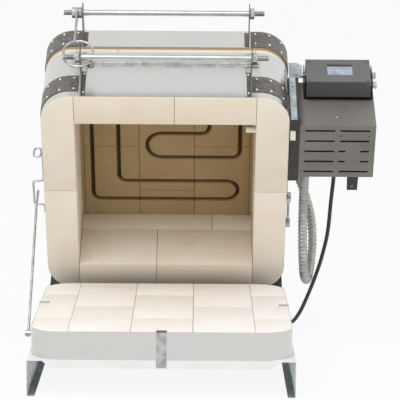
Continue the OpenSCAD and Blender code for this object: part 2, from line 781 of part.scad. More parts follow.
// Oval keeper ring round the neck of the left bracket, its ends joined in a short sleeve
module keeper_ring() opened() color(rod_steel)
    translate([keeper_x, -out - keeper_out, keeper_z]) rotate([90 + keeper_lean, 0, 0]) {
        r = keeper_w / 2;
        for (sy = [0, 1]) translate([0, sy > 0 ? keeper_h - r : r, 0]) rotate([0, 0, sy > 0 ? 0 : 180])
            rotate_extrude(angle = 180) translate([r, 0]) circle(d = keeper_wire);
        for (sx = [-1, 1]) translate([sx * r, r, 0]) rotate([-90, 0, 0])
            cylinder(h = keeper_h - 2 * r, d = keeper_wire);
        translate([-7, 0, 0]) rotate([0, 90, 0]) cylinder(h = 5, r = keeper_wire / 2 + 1.15);
    }

// Clamps that draw the jacket's ends together on the right side
clamp_rows = [foot + 35, foot + 118];
clamp_y = [29, 93];
module jacket_clamps() opened() color(rod_steel) for (z = clamp_rows) {
    for (y = clamp_y) difference() {
        block(out, out + 10, y - 5, y + 5, z - 9, z + 9);
        rod_y(y - 10, y + 10, out + 5.5, z, 2.5);
    }
    rod_y(clamp_y[0] - 12, clamp_y[1] + 8, out + 5.5, z, 2.5);
    rod_y(clamp_y[0] - 12, clamp_y[0] - 5, out + 5.5, z, 4.2);
}

// Lid hinges, each with three knuckles
lid_knuckles = 3;
module lid_hinge_places() for (sx = [-1, 1]) translate([sx * lid_hinge_x, 0, 0]) children();
module lid_hinge_ring_leaves() opened() color(steel_dark) lid_hinge_places() difference() {
    union() {
        knuckles(
            0, out, out + leaf_t, lid_axis_z - knuckle_r - 6, lid_axis_z,
            lid_hinge_len, lid_knuckles, axis_y, lid_axis_z
        );
        block(
            -lid_hinge_len / 2, lid_hinge_len / 2, out, out + leaf_t,
            lid_axis_z - 40, lid_axis_z - knuckle_r - 5
        );
    }
    rod_x(-lid_hinge_len, lid_hinge_len, axis_y, lid_axis_z, pin_d / 2);
}
module lid_hinge_lid_leaves() opened() color(steel_dark) lid_hinge_places() difference() {
    union() {
        knuckles(
            1, lid_out, lid_out + leaf_t, lid_axis_z, lid_axis_z + knuckle_r + 2,
            lid_hinge_len, lid_knuckles, axis_y, lid_axis_z
        );
        block(
            -lid_hinge_len / 2, lid_hinge_len / 2, lid_out, lid_out + leaf_t,
            lid_axis_z + knuckle_r + 1, lid_axis_z + 40
        );
    }
    rod_x(-lid_hinge_len, lid_hinge_len, axis_y, lid_axis_z, pin_d / 2 + run_fit);
}
module lid_hinge_pins() opened() color(rod_steel) lid_hinge_places()
    rod_x(-lid_hinge_len / 2 - 2, lid_hinge_len / 2 + 2, axis_y, lid_axis_z, pin_d / 2);

// Lid bricks, grooved for the element
bend_r = 16;
leg_left = -154;
leg_right = 150.6;
leg_front = -153.7;
leg_end = -118.7;
run_a = 136.8;
run_b = 89.3;
run_c = 27.3;
run_d = -33.7;
inner_left = -99.5;
inner_right = 87.3;
turn_a = (run_a - run_b) / 2;
turn_b = (run_c - run_d) / 2;
module element_way() {
    straight([leg_left, leg_front + bend_r], [leg_left, run_a - bend_r]) children();
    turn([leg_left + bend_r, run_a - bend_r], bend_r, 90, 90) children();
    straight([leg_left + bend_r, run_a], [124, run_a]) children();
    turn([124, run_a - turn_a], turn_a, -90, 180) children();
    straight([124, run_b], [inner_left + bend_r, run_b]) children();
    turn([inner_left + bend_r, run_b - bend_r], bend_r, 90, 90) children();
    straight([inner_left, run_b - bend_r], [inner_left, leg_end]) children();
    straight([leg_right, leg_front + bend_r], [leg_right, run_c - bend_r]) children();
    turn([leg_right - bend_r, run_c - bend_r], bend_r, 0, 90) children();
    straight([leg_right - bend_r, run_c], [-10, run_c]) children();
    turn([-10, run_c - turn_b], turn_b, 90, 180) children();
    straight([-10, run_d], [inner_right - bend_r, run_d]) children();
    turn([inner_right - bend_r, run_d - bend_r], bend_r, 0, 90) children();
    straight([inner_right, run_d - bend_r], [inner_right, leg_end]) children();
    turn([leg_left + bend_r, leg_front + bend_r], bend_r, 180, 90) children();
    straight([leg_left + bend_r, leg_front], [leg_right - bend_r, leg_front]) children();
    turn([leg_right - bend_r, leg_front + bend_r], bend_r, 270, 90) children();
}
module element_pins(r) for (x = [inner_left, inner_right])
    rod_z(lid_foot, lid_foot + 30, x, leg_end, r);
module lid_bricks() opened() color(brick_lid) difference() {
    brick_slab(half, corner_r, lid_foot, lid_top);
    translate([0, 0, lid_foot]) element_way() translate([-groove / 2, -1]) square([groove, groove + 1]);
    element_pins(element_d / 2);
}
module element() opened() color("#77706A") {
    translate([0, 0, lid_foot + groove - element_d / 2]) element_way() circle(d = element_d);
    for (x = [inner_left, inner_right])
        rod_z(lid_foot + groove - element_d / 2, lid_foot + 30, x, leg_end, element_d / 2);
}

// Lid cover, bent down round the bricks
module lid_cover() opened() color(steel) difference() {
    union() {
        translate([0, 0, lid_top]) linear_extrude(cover_t) outline(lid_out, corner_r + cover_t);
        sheet_round(half, corner_r, cover_t, cover_lo, lid_top);
    }
    corner_rivets(cover_t, lid_rivet_rows, false);
}
module lid_corner_plates() opened() color(steel_dark) difference() {
    corner_plates(cover_t, cover_lo, lid_foot + 60.4);
    corner_rivets(cover_t, lid_rivet_rows, false);
}
module lid_rivets() opened() color(rod_steel) corner_rivets(cover_t, lid_rivet_rows, true);
module lid_bracket_outline() difference() {
    union() {
        polygon([
            [0, cover_lo], [0, cover_lo + 54], [rod_out, lid_rod_z + nose_r],
            [rod_out, lid_rod_z - nose_r]
        ]);
        translate([rod_out, lid_rod_z]) circle(nose_r);
    }
    translate([rod_out, lid_rod_z]) circle(rod_r);
}
module lid_brackets() opened() color(steel_dark) for (x = [-lid_bracket_left, lid_bracket_right]) {
    side_plate(x, bracket_t, lid_out) lid_bracket_outline();
    block(
        x < 0 ? x + bracket_t : x - flange_w, x < 0 ? x + bracket_t + flange_w : x,
        -lid_out - bracket_t, -lid_out, cover_lo + 4, cover_lo + 50
    );
}
lid_rod_y = -lid_out - rod_out;
module lid_handle_rod() opened() color(rod_steel) rod_x(-204, 194.3, lid_rod_y, lid_rod_z, rod_r);
module lid_handle_nuts() opened() color(rod_steel) {
    nut(-lid_bracket_left - nut_h, lid_rod_y, lid_rod_z);
    nut(latch_x - nut_h, lid_rod_y, lid_rod_z);
    nut(lid_bracket_right + bracket_t, lid_rod_y, lid_rod_z);
}

// Latch plate that hangs from the lid's handle rod beside the keeper ring
latch_w = 21;
latch_foot = foot + 84;
latch_step = foot + 107;
module latch_plate() opened() color(rod_steel) difference() {
    union() {
        block(
            latch_x, latch_x + latch_t + 1, lid_rod_y - latch_w / 2, lid_rod_y + latch_w / 2,
            latch_step - 10, lid_rod_z
        );
        block(
            latch_x, latch_x + latch_t + 1, lid_rod_y - latch_w / 2, lid_rod_y - 1.5,
            latch_foot, lid_rod_z
        );
        rod_x(latch_x, latch_x + latch_t + 1, lid_rod_y, lid_rod_z, latch_w / 2);
    }
    rod_x(latch_x - 5, latch_x + 10, lid_rod_y, lid_rod_z, rod_r);
    block(latch_x - 1, latch_x + 5, lid_rod_y - 1.5, lid_rod_y + latch_w, latch_foot - 1, latch_step);
}

// Control box on its standoff beside the ring
standoff_y = box_y - 15.7;
standoff_y_far = box_y_far + 10;
standoff_t = 1.2;
module control_standoff() opened() color("#3A3A3A") difference() {
    union() {
        block(out, out + standoff_t, standoff_y, standoff_y_far, foot, foot + 140);
        block(box_x - standoff_t, box_x, standoff_y, standoff_y_far, foot, foot + 140);
        block(out, box_x, standoff_y, standoff_y + standoff_t, foot, foot + 140);
        block(out, box_x, standoff_y, standoff_y_far, foot, foot + standoff_t);
    }
    rod_x(out - 5, out + 6, probe_y, probe_z, probe_d / 2 + 1);
    block(out + 1.4, out + 12.4, probe_y - 9, probe_y + 9, foot - 1, foot + 2);
    block(box_x - 5, box_x + 5, probe_y - 12, probe_y + 12, foot + 30, foot + 60);
}
arm_y = standoff_y - 1.5;
arm_x = lid_out + plate_t + 0.7;
module control_arm() opened() color(zinc) {
    difference() {
        union() {
            block(arm_x, arm_x + 12, arm_y, standoff_y, foot - 2, foot + 190);
            block(arm_x, arm_x + 26.8, arm_y, standoff_y, foot + 139, foot + 190);
        }
        translate([arm_x + 26.8, arm_y - 1, foot + 190]) rotate([0, 45, 0]) cube(14, center = true);
    }
    for (z = [foot + 150, foot + 176]) rod_y(arm_y - 1.5, arm_y, arm_x + 14, z, 3);
    for (z = [foot + 30, foot + 110]) rod_y(arm_y - 1.5, arm_y, arm_x + 6, z, 3);
}
module thermocouple() opened() color("#E8E2D4") {
    rod_x(chamber / 2 - probe_in, out + 6, probe_y, probe_z, probe_d / 2);
    block(out + 1.9, out + 11.9, probe_y - 8.5, probe_y + 8.5, foot - 8, foot + 21);
}
module vent_slot(x0, x1, y) {
    block(x0 + vent_w / 2, x1 - vent_w / 2, y - vent_w / 2, y + vent_w / 2, foot - 1, foot + box_wall + 1);
    for (x = [x0 + vent_w / 2, x1 - vent_w / 2]) rod_z(foot - 1, foot + box_wall + 1, x, y, vent_w / 2);
}
module box_vents() {
    for (row = [0:4]) {
        y = vent_y + row * vent_pitch;
        vent_slot(box_x + 9.5, box_x + 69, y);
        if (row < 2 || row > 3) vent_slot(box_x + 78.5, box_x + 137, y);
        if (row == 2 || row == 3) vent_slot(box_x + 76.5, box_x + 91, y);
        if (row == 2 || row == 3) vent_slot(box_x + 119.5, box_x + 137, y);
    }
    for (x = [box_x + 79.6, box_x + 135])
        rod_z(foot - 1, foot + box_wall + 1, x, vent_y + 0.5 * vent_pitch, 1.6);
}
module control_box() opened() color(box_grey) difference() {
    block(box_x + box_wall, box_x_far, box_y, box_y_far, foot, box_z_top);
    block(
        box_x, box_x_far - box_wall, box_y + box_wall, box_y_far - box_wall,
        foot + box_wall, box_z_top - box_wall
    );
    box_vents();
    rod_y(box_y_far - 5, box_y_far + 5, connector_x, connector_z, 7);
    rod_y(box_y_far - 5, box_y_far + 5, gland_x, gland_z, 6);
}
module control_box_back() opened() color(box_grey) {
    difference() {
        block(box_x, box_x + box_wall, box_y, box_y_far, foot, box_z_top);
        block(box_x - 5, box_x + 5, probe_y - 12, probe_y + 12, foot + 30, foot + 60);
    }
    for (y = [box_y + box_wall, box_y_far - 2 * box_wall])
        block(box_x, box_x + 7, y, y + box_wall, foot + 8, box_z_top - 8);
}
module control_screws() opened() color(rod_steel) {
    for (y = [box_y + 14, box_y_far - 14]) rod_z(foot - 1.5, foot, box_x + 5, y, 3);
    rod_y(box_y - 1.5, box_y, box_x + 72, foot + 31, 3);
    rod_z(foot - 1.5, foot, box_x + 109, vent_y + 3.1 * vent_pitch, 3);
    for (y = [box_y + 20, box_y_far - 20], z = [foot + 20, box_z_top - 20])
        rod_x(box_x_far, box_x_far + 1.5, y, z, 3);
}
module relay() opened() color("#2E3033") {
    block(box_x + box_wall, box_x + 24, box_y + 20, box_y + 62, foot + 70, foot + 118);
    for (y = [box_y + 30, box_y + 52], z = [foot + 80, foot + 108])
        rod_x(box_x + 24, box_x + 28, y, z, 3.5);
}
module terminal_block() opened() color("#E3D9C0") difference() {
    block(box_x + box_wall, box_x + 18, box_y + 76, box_y + 112, foot + 60, foot + 126);
    for (k = [0:3]) block(
        box_x + 12, box_x + 20, box_y + 74, box_y + 114, foot + 74 + 13 * k, foot + 76 + 13 * k
    );
}

// Cradle on the box's front, which holds the controller between two cheeks
cheek_front = pivot_y - 15;
module controller_cradle() opened() color("#3F3F3F") difference() {
    union() {
        block(
            case_x - cheek_gap - cheek_t, case_x_far + cheek_gap + cheek_t,
            box_y - cheek_t, box_y, foot + 88, foot + 142
        );
        for (x = [case_x - cheek_gap - cheek_t, case_x_far + cheek_gap])
            block(x, x + cheek_t, cheek_front, box_y, foot + 88, foot + 148);
    }
    rod_x(case_x - 20, case_x_far + 20, pivot_y, pivot_z, knob_stud_r + 0.2);
    tilt_slot();
}
module tilt_slot() {
    w = knob_stud_r + 0.5;
    for (a = [0, tilt_deg]) rotate_about(pivot_y, pivot_z, -a)
        rod_x(case_x_far, case_x_far + 20, pivot_y, knob_z, w + 0.2);
    rotate_about(pivot_y, pivot_z, -tilt_deg / 2) block(
        case_x_far, case_x_far + 20,
        pivot_y - knob_gap * sin(tilt_deg / 2), pivot_y + knob_gap * sin(tilt_deg / 2),
        pivot_z - knob_gap * cos(tilt_deg / 2) - w, pivot_z - knob_gap * cos(tilt_deg / 2) + w
    );
}

// Controller
display_x = case_x + 42;
display_w = 49.8;
display_z = foot + 106;
display_h = 36;
panel_t = 1.5;
module controller_case() opened() color(case_black) difference() {
    translate([case_x, 0, 0]) rotate([90, 0, 90]) linear_extrude(case_w) polygon([
        [case_front, case_z], [case_y - 5, case_z], [case_y, case_z + 5],
        [case_y, case_z + case_h], [case_front, case_z + case_h]
    ]);
    block(
        case_x + case_wall, case_x_far - case_wall, case_front - 1, case_y - case_wall - 5,
        case_z + case_wall, case_z + case_h - case_wall
    );
    rod_x(case_x - 1, case_x + case_wall + 1, pivot_y, pivot_z, knob_stud_r);
    for (z = [pivot_z, knob_z])
        rod_x(case_x_far - case_wall - 1, case_x_far + 1, pivot_y, z, knob_stud_r + run_fit);
}
module controller_panel() opened() color("#6F7071") {
    difference() {
        block(
            case_x, case_x_far, case_front - panel_t, case_front, case_z, case_z + case_h
        );
        block(
            display_x, display_x + display_w, case_front - 5, case_front + 5,
            display_z, display_z + display_h
        );
    }
    for (x = [case_x + 6, case_x_far - 6], z = [case_z + 6, case_z + case_h - 6])
        rod_y(case_front - panel_t - 1, case_front - panel_t, x, z, 2.6);
}
module controller_display() opened() color("#9AA3B0") {
    block(
        display_x, display_x + display_w, case_front - panel_t + 0.4, case_front + 6,
        display_z, display_z + display_h - 7
    );
    block(
        display_x, display_x + display_w, case_front - panel_t, case_front + 6,
        display_z + display_h - 7, display_z + display_h
    );
}
module left_pivot_screw() opened() color(rod_steel) {
    head_r = 4.5;
    rod_x(case_x - cheek_gap - cheek_t - 0.6, case_x + case_wall, pivot_y, pivot_z, knob_stud_r);
    rod_x(case_x - cheek_gap + 0.3, case_x, pivot_y, pivot_z, head_r);
    rod_x(
        case_x - cheek_gap - cheek_t - 4.8, case_x - cheek_gap - cheek_t - 0.3,
        pivot_y, pivot_z, head_r
    );
}
module knob(z) opened() color("#262626") {
    face = case_x_far + cheek_gap + cheek_t;
    rod_x(case_x_far - case_wall, face + 1, pivot_y, z, knob_stud_r);
    rod_x(face + 0.3, face + 2, pivot_y, z, knob_d / 2 - 2);
    difference() {
        rod_x(face + 2, face + 8.5, pivot_y, z, knob_d / 2);
        for (a = [0:30:330]) rotate_about(pivot_y, z, a)
            rod_x(face + 1, face + 10, pivot_y + knob_d / 2 + 0.6, z, 1.4);
    }
}
module rotate_about(y, z, a)
    translate([0, y, z]) rotate([a, 0, 0]) translate([0, -y, -z]) children();
module pivot_knob() knob(pivot_z);
module tilt_knob() knob(knob_z);

// Box on the lid's right side, where the conduit brings the element's leads
module lid_terminal_box() opened() color(steel) difference() {
    block(lid_out, lid_out + 42, lid_box_y, lid_box_y_far, lid_box_z, lid_box_z_top);
    block(
        lid_out + 1.2, lid_out + 40.8, lid_box_y + 1.2, lid_box_y_far - 1.2,
        lid_box_z + 1.2, lid_box_z_top - 1.2
    );
    rod_y(lid_box_y_far - 5, lid_box_y_far + 5, lid_connector_x, lid_connector_z, 7);
}

// Threaded connector at each end of the conduit, drawn along Y
module connector(x, z, wall_y, end_y) color(rod_steel) difference() {
    union() {
        rod_y(wall_y - 3, wall_y, x, z, 6.9);
        translate([x, wall_y, z]) rotate([-90, 0, 0])
            cylinder(h = 7, r = 13 / cos(22.5), $fn = 8);
        rod_y(wall_y + 7, end_y, x, z, 11.5);
    }
    rod_y(wall_y - 5, end_y + 1, x, z, 5.5);
}
module box_connector() opened() connector(connector_x, connector_z, box_y_far, connector_y);
module lid_connector() opened()
    connector(lid_connector_x, lid_connector_z, lid_box_y_far, lid_connector_y);

// Ribbed conduit from the box to the lid, hanging behind the ring
conduit_from = opened_at([connector_x, connector_y, connector_z]);
conduit_to = opened_at([lid_connector_x, lid_connector_y + 0.7, lid_connector_z]);
away = [0, cos(open_deg), -sin(open_deg)];
conduit_way = [
    conduit_from, conduit_from + 30 * away,
    [278, 226, 285], [278, 237, 240], [279, 243, 195], [283, 262, 141], [292, 311, 118],
    [301, 359, 138], [306, 379, 186], [302, 388, 240], [288, 390, 290],
    conduit_to + 30 * away, conduit_to
];
conduit_curve = spline(conduit_way);
conduit_length = travel(conduit_curve)[len(conduit_curve) - 1];
rib_depth = 1.3;
module conduit() kiln() color("#8D8B88") {
    c = even(conduit_curve, rib_pitch / 2);
    n = len(c);
    hose(c, [
        for (i = [0:n - 1]) (i < 2 || i > n - 3 || i % 2 == 0 ? conduit_d / 2 : conduit_d / 2 - rib_depth)
    ], conduit_bore / 2, 8);
}

// Gland and tapered strain relief at the box's rear wall
module cord_gland() opened() color("#222222") {
    rod_y(box_y_far - 3, box_y_far, gland_x, gland_z, 6);
    rod_y(box_y_far, box_y_far + 6, gland_x, gland_z, 9);
    translate([gland_x, box_y_far + 6, gland_z]) rotate([-90, 0, 0])
        cylinder(h = gland_y - box_y_far - 6, r1 = 8, r2 = cord_d / 2 + 1);
}

// Power cord from the gland down to the floor behind the base
floor_z = cord_d / 2;
cord_from = opened_at([gland_x, gland_y, gland_z]);
coil_x = 110;
coil_y = 387;
cord_way = [
    cord_from, cord_from + 20 * away,
    [335, 240, 294], [331, 262, 229], [324, 285, 183], [314, 315, 136], [296, 352, 75],
    [279, 380, 30], [262, 405, 6], [235, 425, floor_z], [200, 440, floor_z],
    [150, coil_y + coil_r, floor_z], [118, coil_y + coil_r, floor_z]
];
cord_curve = spline(cord_way);
cord_length = travel(cord_curve)[len(cord_curve) - 1];
cord_ring_step = 2.5;
module power_cord() kiln() color("#26262A") tube(even(cord_curve, cord_ring_step * cord_d), cord_d / 2, 8);

// Coil that winds in on the floor, climbs a layer while it reverses, and winds out again
coil_turns = 4.5;
coil_steps = 24;
function coil_wind(t) = min(t, coil_turns - t);
function coil_climb(t) = min(1, max(0, (t - coil_turns / 2) * 2 + 0.5));
function coil_at(t) = let (
    r = coil_r - coil_step * coil_wind(t),
    a = 90 + 360 * t
) [coil_x + r * cos(a), coil_y + r * sin(a), floor_z + coil_step * coil_climb(t)];
coil_points = concat(
    [[118, coil_y + coil_r, floor_z]],
    [for (k = [0:coil_turns * coil_steps]) coil_at(k / coil_steps)],
    [[118, coil_y - coil_r, floor_z + coil_step]]
);
coil_last = len(coil_points) - 1;
coil_length = travel(coil_points)[coil_last];
coil_gap = min([
    for (i = [0:coil_last], j = [0:coil_last])
        if (j - i > coil_steps / 2) norm(coil_points[i] - coil_points[j]) - cord_d
]);
echo(coil_self_gap = coil_gap, cord_free = cord_length, cord_coiled = coil_length,
    conduit_length = conduit_length);
module cord_coil() kiln() color("#26262A") tube(coil_points, cord_d / 2, 6);

// Moulded plug at the cord's end, lying on the coil's level beside it
plug_x = 118;
plug_y = coil_y - coil_r;
plug_z = floor_z + coil_step;
module plug() kiln() color("#1F1F22") {
    translate([plug_x, plug_y, plug_z]) rotate([0, 90, 0])
        cylinder(h = 22, r1 = cord_d / 2 + 1.2, r2 = 8);
    rod_x(plug_x + 22, plug_x + 30, plug_y, plug_z, plug_z);
    block(plug_x + 26, plug_x + 52, plug_y - 15, plug_y + 15, 0, 2 * plug_z);
    for (sy = [-1, 1]) block(
        plug_x + 52, plug_x + 69, plug_y + sy * 6.35 - 0.8, plug_y + sy * 6.35 + 0.8,
        plug_z - 5, plug_z + 1.4
    );
    rod_x(plug_x + 52, plug_x + 71, plug_y, plug_z + 6, 2.4);
}

stand_top();
stand_side_left();
stand_side_right();
stand_screws();
base_slab();
base_tray();
base_front_cover();
hold_down_clips();
hinge_stand_leaf();
hinge_pin();
prop_pivot();
ring_bricks();
ring_jacket();
ring_corner_plates();
ring_rivets();
ring_brackets();
ring_handle_rod();
ring_handle_nuts();
hinge_ring_leaf();
prop_loop();
jacket_clamps();
lid_hinge_ring_leaves();
lid_hinge_pins();
prop_bar_lug();
control_standoff();
control_arm();
thermocouple();
control_box();
control_box_back();
control_screws();
relay();
terminal_block();
controller_cradle();
conduit();
box_connector();
cord_gland();
power_cord();
cord_coil();
plug();
prop_rod();
prop_bar();
keeper_ring();
lid_bricks();
lid_cover();
lid_corner_plates();
lid_rivets();
lid_brackets();
lid_handle_rod();
lid_handle_nuts();
lid_hinge_lid_leaves();
lid_terminal_box();
lid_connector();
element();
latch_plate();
controller_case();
controller_panel();
controller_display();
left_pivot_screw();
pivot_knob();
tilt_knob();
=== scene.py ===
import math
import random

import bpy
from mathutils import Matrix, Vector
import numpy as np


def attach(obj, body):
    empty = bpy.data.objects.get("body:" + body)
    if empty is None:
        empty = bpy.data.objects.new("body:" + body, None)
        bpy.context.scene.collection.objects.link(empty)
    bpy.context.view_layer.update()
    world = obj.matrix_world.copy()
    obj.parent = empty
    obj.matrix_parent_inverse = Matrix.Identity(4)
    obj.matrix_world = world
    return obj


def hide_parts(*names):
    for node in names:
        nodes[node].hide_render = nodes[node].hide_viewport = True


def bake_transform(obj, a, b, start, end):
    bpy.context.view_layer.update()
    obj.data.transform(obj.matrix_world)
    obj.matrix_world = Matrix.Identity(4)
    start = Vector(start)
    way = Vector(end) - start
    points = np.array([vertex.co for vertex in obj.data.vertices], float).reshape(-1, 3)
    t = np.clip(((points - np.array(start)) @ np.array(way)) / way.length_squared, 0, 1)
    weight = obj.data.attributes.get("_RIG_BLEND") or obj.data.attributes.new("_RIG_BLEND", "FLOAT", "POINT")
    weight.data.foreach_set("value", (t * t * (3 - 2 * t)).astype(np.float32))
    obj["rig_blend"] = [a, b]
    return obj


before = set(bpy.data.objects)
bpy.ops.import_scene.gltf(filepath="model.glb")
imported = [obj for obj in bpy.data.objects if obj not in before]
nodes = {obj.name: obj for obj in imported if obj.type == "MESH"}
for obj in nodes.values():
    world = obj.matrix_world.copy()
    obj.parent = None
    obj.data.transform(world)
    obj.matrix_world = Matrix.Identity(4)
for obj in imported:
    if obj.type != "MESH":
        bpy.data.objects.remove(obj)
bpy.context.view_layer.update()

# Studio: a white floor and a white surround that bright metal also sees, one large soft
# lamp above and in front, and a weaker one from the right.
scene = bpy.context.scene
scene.view_settings.view_transform = "Standard"
SURROUND_LIGHT = 0.62
FLOOR_GLOW = 0.9
FLOOR_SIZE = 80


def colour(code):
    parts = [int(code[k:k + 2], 16) / 255 for k in (1, 3, 5)]
    return [c / 12.92 if c <= 0.04045 else ((c + 0.055) / 1.055) ** 2.4 for c in parts] + [1.0]


def add(tree, kind, settings=None, **links):
    node = tree.nodes.new("ShaderNode" + kind)
    for key, value in (settings or {}).items():
        if isinstance(key, int) or key in node.inputs:
            node.inputs[key].default_value = value
        else:
            setattr(node, key, value)
    for key, source in links.items():
        name = int(key[1:]) if key[0] == "i" and key[1:].isdigit() else key.replace("_", " ")
        tree.links.new(source, node.inputs[name])
    return node


def seen(tree):
    path = add(tree, "LightPath")
    one = add(tree, "Math", {"operation": "MAXIMUM"}, i0=path.outputs["Is Camera Ray"],
              i1=path.outputs["Is Glossy Ray"])
    return add(tree, "Math", {"operation": "MAXIMUM"}, i0=one.outputs[0],
               i1=path.outputs["Is Transmission Ray"]).outputs[0]


world = bpy.data.worlds.new("surround")
scene.world = world
world.use_nodes = True
sky = world.node_tree
strength = add(sky, "MapRange", {"To Min": SURROUND_LIGHT, "To Max": 1.0}, Value=seen(sky))
back = sky.nodes["Background"]
back.inputs["Color"].default_value = (1, 1, 1, 1)
sky.links.new(strength.outputs[0], back.inputs["Strength"])

bpy.ops.object.select_all(action="DESELECT")
bpy.ops.mesh.primitive_plane_add(size=FLOOR_SIZE, location=(0, 0, 0))
floor = bpy.context.object
floor.name = "studio_floor"
paper = bpy.data.materials.new("white studio paper")
paper.use_nodes = True
tree = paper.node_tree
matt = add(tree, "BsdfDiffuse", {"Color": colour("#F6F5F2")})
glow = add(tree, "Emission", {"Color": (1, 1, 1, 1), "Strength": 1.0})
share = add(tree, "Math", {"operation": "MULTIPLY", 1: FLOOR_GLOW}, i0=seen(tree))
mix = add(tree, "MixShader", None, Fac=share.outputs[0], i1=matt.outputs[0], i2=glow.outputs[0])
tree.links.new(mix.outputs[0], tree.nodes["Material Output"].inputs["Surface"])
floor.data.materials.append(paper)

LAMP_AIM = Vector((-0.05, 0, 0.35))
for name, place, size, power in (
    ("lamp_above", (-0.9, -2.1, 3.0), 2.4, 62),
    ("lamp_right", (2.6, -1.2, 1.6), 1.6, 12),
):
    lamp = bpy.data.lights.new(name, "AREA")
    lamp.size = size
    lamp.energy = power
    holder = bpy.data.objects.new(name, lamp)
    scene.collection.objects.link(holder)
    holder.location = place
    aim = LAMP_AIM - Vector(place)
    holder.rotation_euler = aim.to_track_quat("-Z", "Y").to_euler()

# Camera: a long lens in front of the kiln and a little above it, as in the photograph.
CAMERA_AT = (-0.00975, -4.0910, 0.9078)
CAMERA_YAW, CAMERA_DOWN, CAMERA_ROLL = 0.001, 0.145, 0.007
SENSOR_MM, FOCAL_MM, FARTHEST = 36, 188.5, 60
lens = bpy.data.cameras.new("camera")
lens.sensor_width = SENSOR_MM
lens.lens = FOCAL_MM
lens.clip_end = FARTHEST
camera = bpy.data.objects.new("camera", lens)
scene.collection.objects.link(camera)
ahead = Vector((math.sin(CAMERA_YAW) * math.cos(CAMERA_DOWN),
                math.cos(CAMERA_YAW) * math.cos(CAMERA_DOWN), -math.sin(CAMERA_DOWN)))
level = Vector((math.cos(CAMERA_YAW), -math.sin(CAMERA_YAW), 0))
over = level.cross(ahead)
right = math.cos(CAMERA_ROLL) * level + math.sin(CAMERA_ROLL) * over
up = math.cos(CAMERA_ROLL) * over - math.sin(CAMERA_ROLL) * level
turned = Matrix((right, up, -ahead)).transposed().to_4x4()
camera.matrix_world = Matrix.Translation(CAMERA_AT) @ turned
scene.camera = camera

# Stand: a folded sheet top in white stoving paint on two galvanised side plates.
# The paint is smooth and slightly dull; hot-dip zinc shows crystals about 12 mm across.
SPANGLE = 12


def material(name, code, rough, metal=0.0, **sockets):
    made = bpy.data.materials.new(name)
    made.use_nodes = True
    shader = made.node_tree.nodes["Principled BSDF"]
    shader.inputs["Base Color"].default_value = colour(code)
    shader.inputs["Roughness"].default_value = rough
    shader.inputs["Metallic"].default_value = metal
    for key, value in sockets.items():
        shader.inputs[key.replace("_", " ")].default_value = value
    return made, made.node_tree, shader


def pattern(tree, size_mm, detail=3.0, stretch=(1, 1, 1), turn=0.0):
    where = add(tree, "TexCoord").outputs["Object"]
    spread = add(tree, "Mapping", {"Scale": stretch, "Rotation": (turn, 0, 0)}, Vector=where)
    return add(tree, "TexNoise", {"Scale": 1000 / size_mm, "Detail": detail},
               Vector=spread.outputs[0]).outputs[0]


def shade(tree, fac, low, high, first, last):
    ramp = add(tree, "ValToRGB", None, Fac=fac)
    ends = ramp.color_ramp.elements
    ends[0].position, ends[1].position = low, high
    ends[0].color, ends[1].color = colour(first), colour(last)
    return ramp.outputs[0]


def blend_in(tree, fac, under, top):
    both = add(tree, "Mix", {"data_type": "RGBA"})
    tree.links.new(fac, both.inputs[0])
    tree.links.new(under, both.inputs[6])
    tree.links.new(top, both.inputs[7])
    return both.outputs[2]


def roughen(tree, shader, fac, low, high):
    spread = add(tree, "MapRange", {"To Min": low, "To Max": high}, Value=fac)
    tree.links.new(spread.outputs[0], shader.inputs["Roughness"])


def bump(tree, shader, height, depth_mm, strength=1.0):
    raised = add(tree, "Bump", {"Strength": strength, "Distance": depth_mm / 1000}, Height=height)
    tree.links.new(raised.outputs[0], shader.inputs["Normal"])


def dress(finish, *names):
    for name in names:
        for place in nodes[name].material_slots:
            place.material = finish


white_paint, tree, shader = material("white stoved paint", "#E9EAEA", 0.42)
roughen(tree, shader, pattern(tree, 40), 0.36, 0.5)
tree.links.new(shade(tree, pattern(tree, 90), 0.3, 0.7, "#E2E4E5", "#EFF0EF"),
               shader.inputs["Base Color"])
bump(tree, shader, pattern(tree, 1.6), 0.05, 0.3)
dress(white_paint, "stand_top")

galvanised, tree, shader = material("hot-dip galvanised sheet", "#A7B0B6", 0.4, 0.75)
crystals = add(tree, "TexVoronoi", {"Scale": 1000 / SPANGLE},
               Vector=add(tree, "TexCoord").outputs["Object"])
spangle = shade(tree, add(tree, "SeparateColor", None, Color=crystals.outputs["Color"]).outputs[0],
                0.1, 0.9, "#99A2A8", "#BCC3C7")
tree.links.new(spangle, shader.inputs["Base Color"])
roughen(tree, shader, pattern(tree, 18), 0.3, 0.52)
dress(galvanised, "stand_side_left", "stand_side_right", "control_arm")

# Bright zinc plate on hinge pins, clips, screws, knobs, prop rod and latch: a thin, slightly
# blue-white plating over drawn steel, duller in patches where it has been handled.
zinc, tree, shader = material("bright zinc plate", "#B9BBBC", 0.3, 1.0)
roughen(tree, shader, pattern(tree, 9), 0.2, 0.42)
tree.links.new(shade(tree, pattern(tree, 14), 0.35, 0.7, "#A3A5A6", "#C8C9C8"),
               shader.inputs["Base Color"])
bump(tree, shader, pattern(tree, 1.2), 0.03, 0.25)
dress(zinc, "hinge_pin", "prop_pivot", "prop_loop", "jacket_clamps", "lid_hinge_pins",
      "prop_bar_lug", "box_connector", "lid_connector", "prop_rod", "prop_bar", "keeper_ring",
      "latch_plate", "left_pivot_screw", "hold_down_clips", "pivot_knob", "tilt_knob")

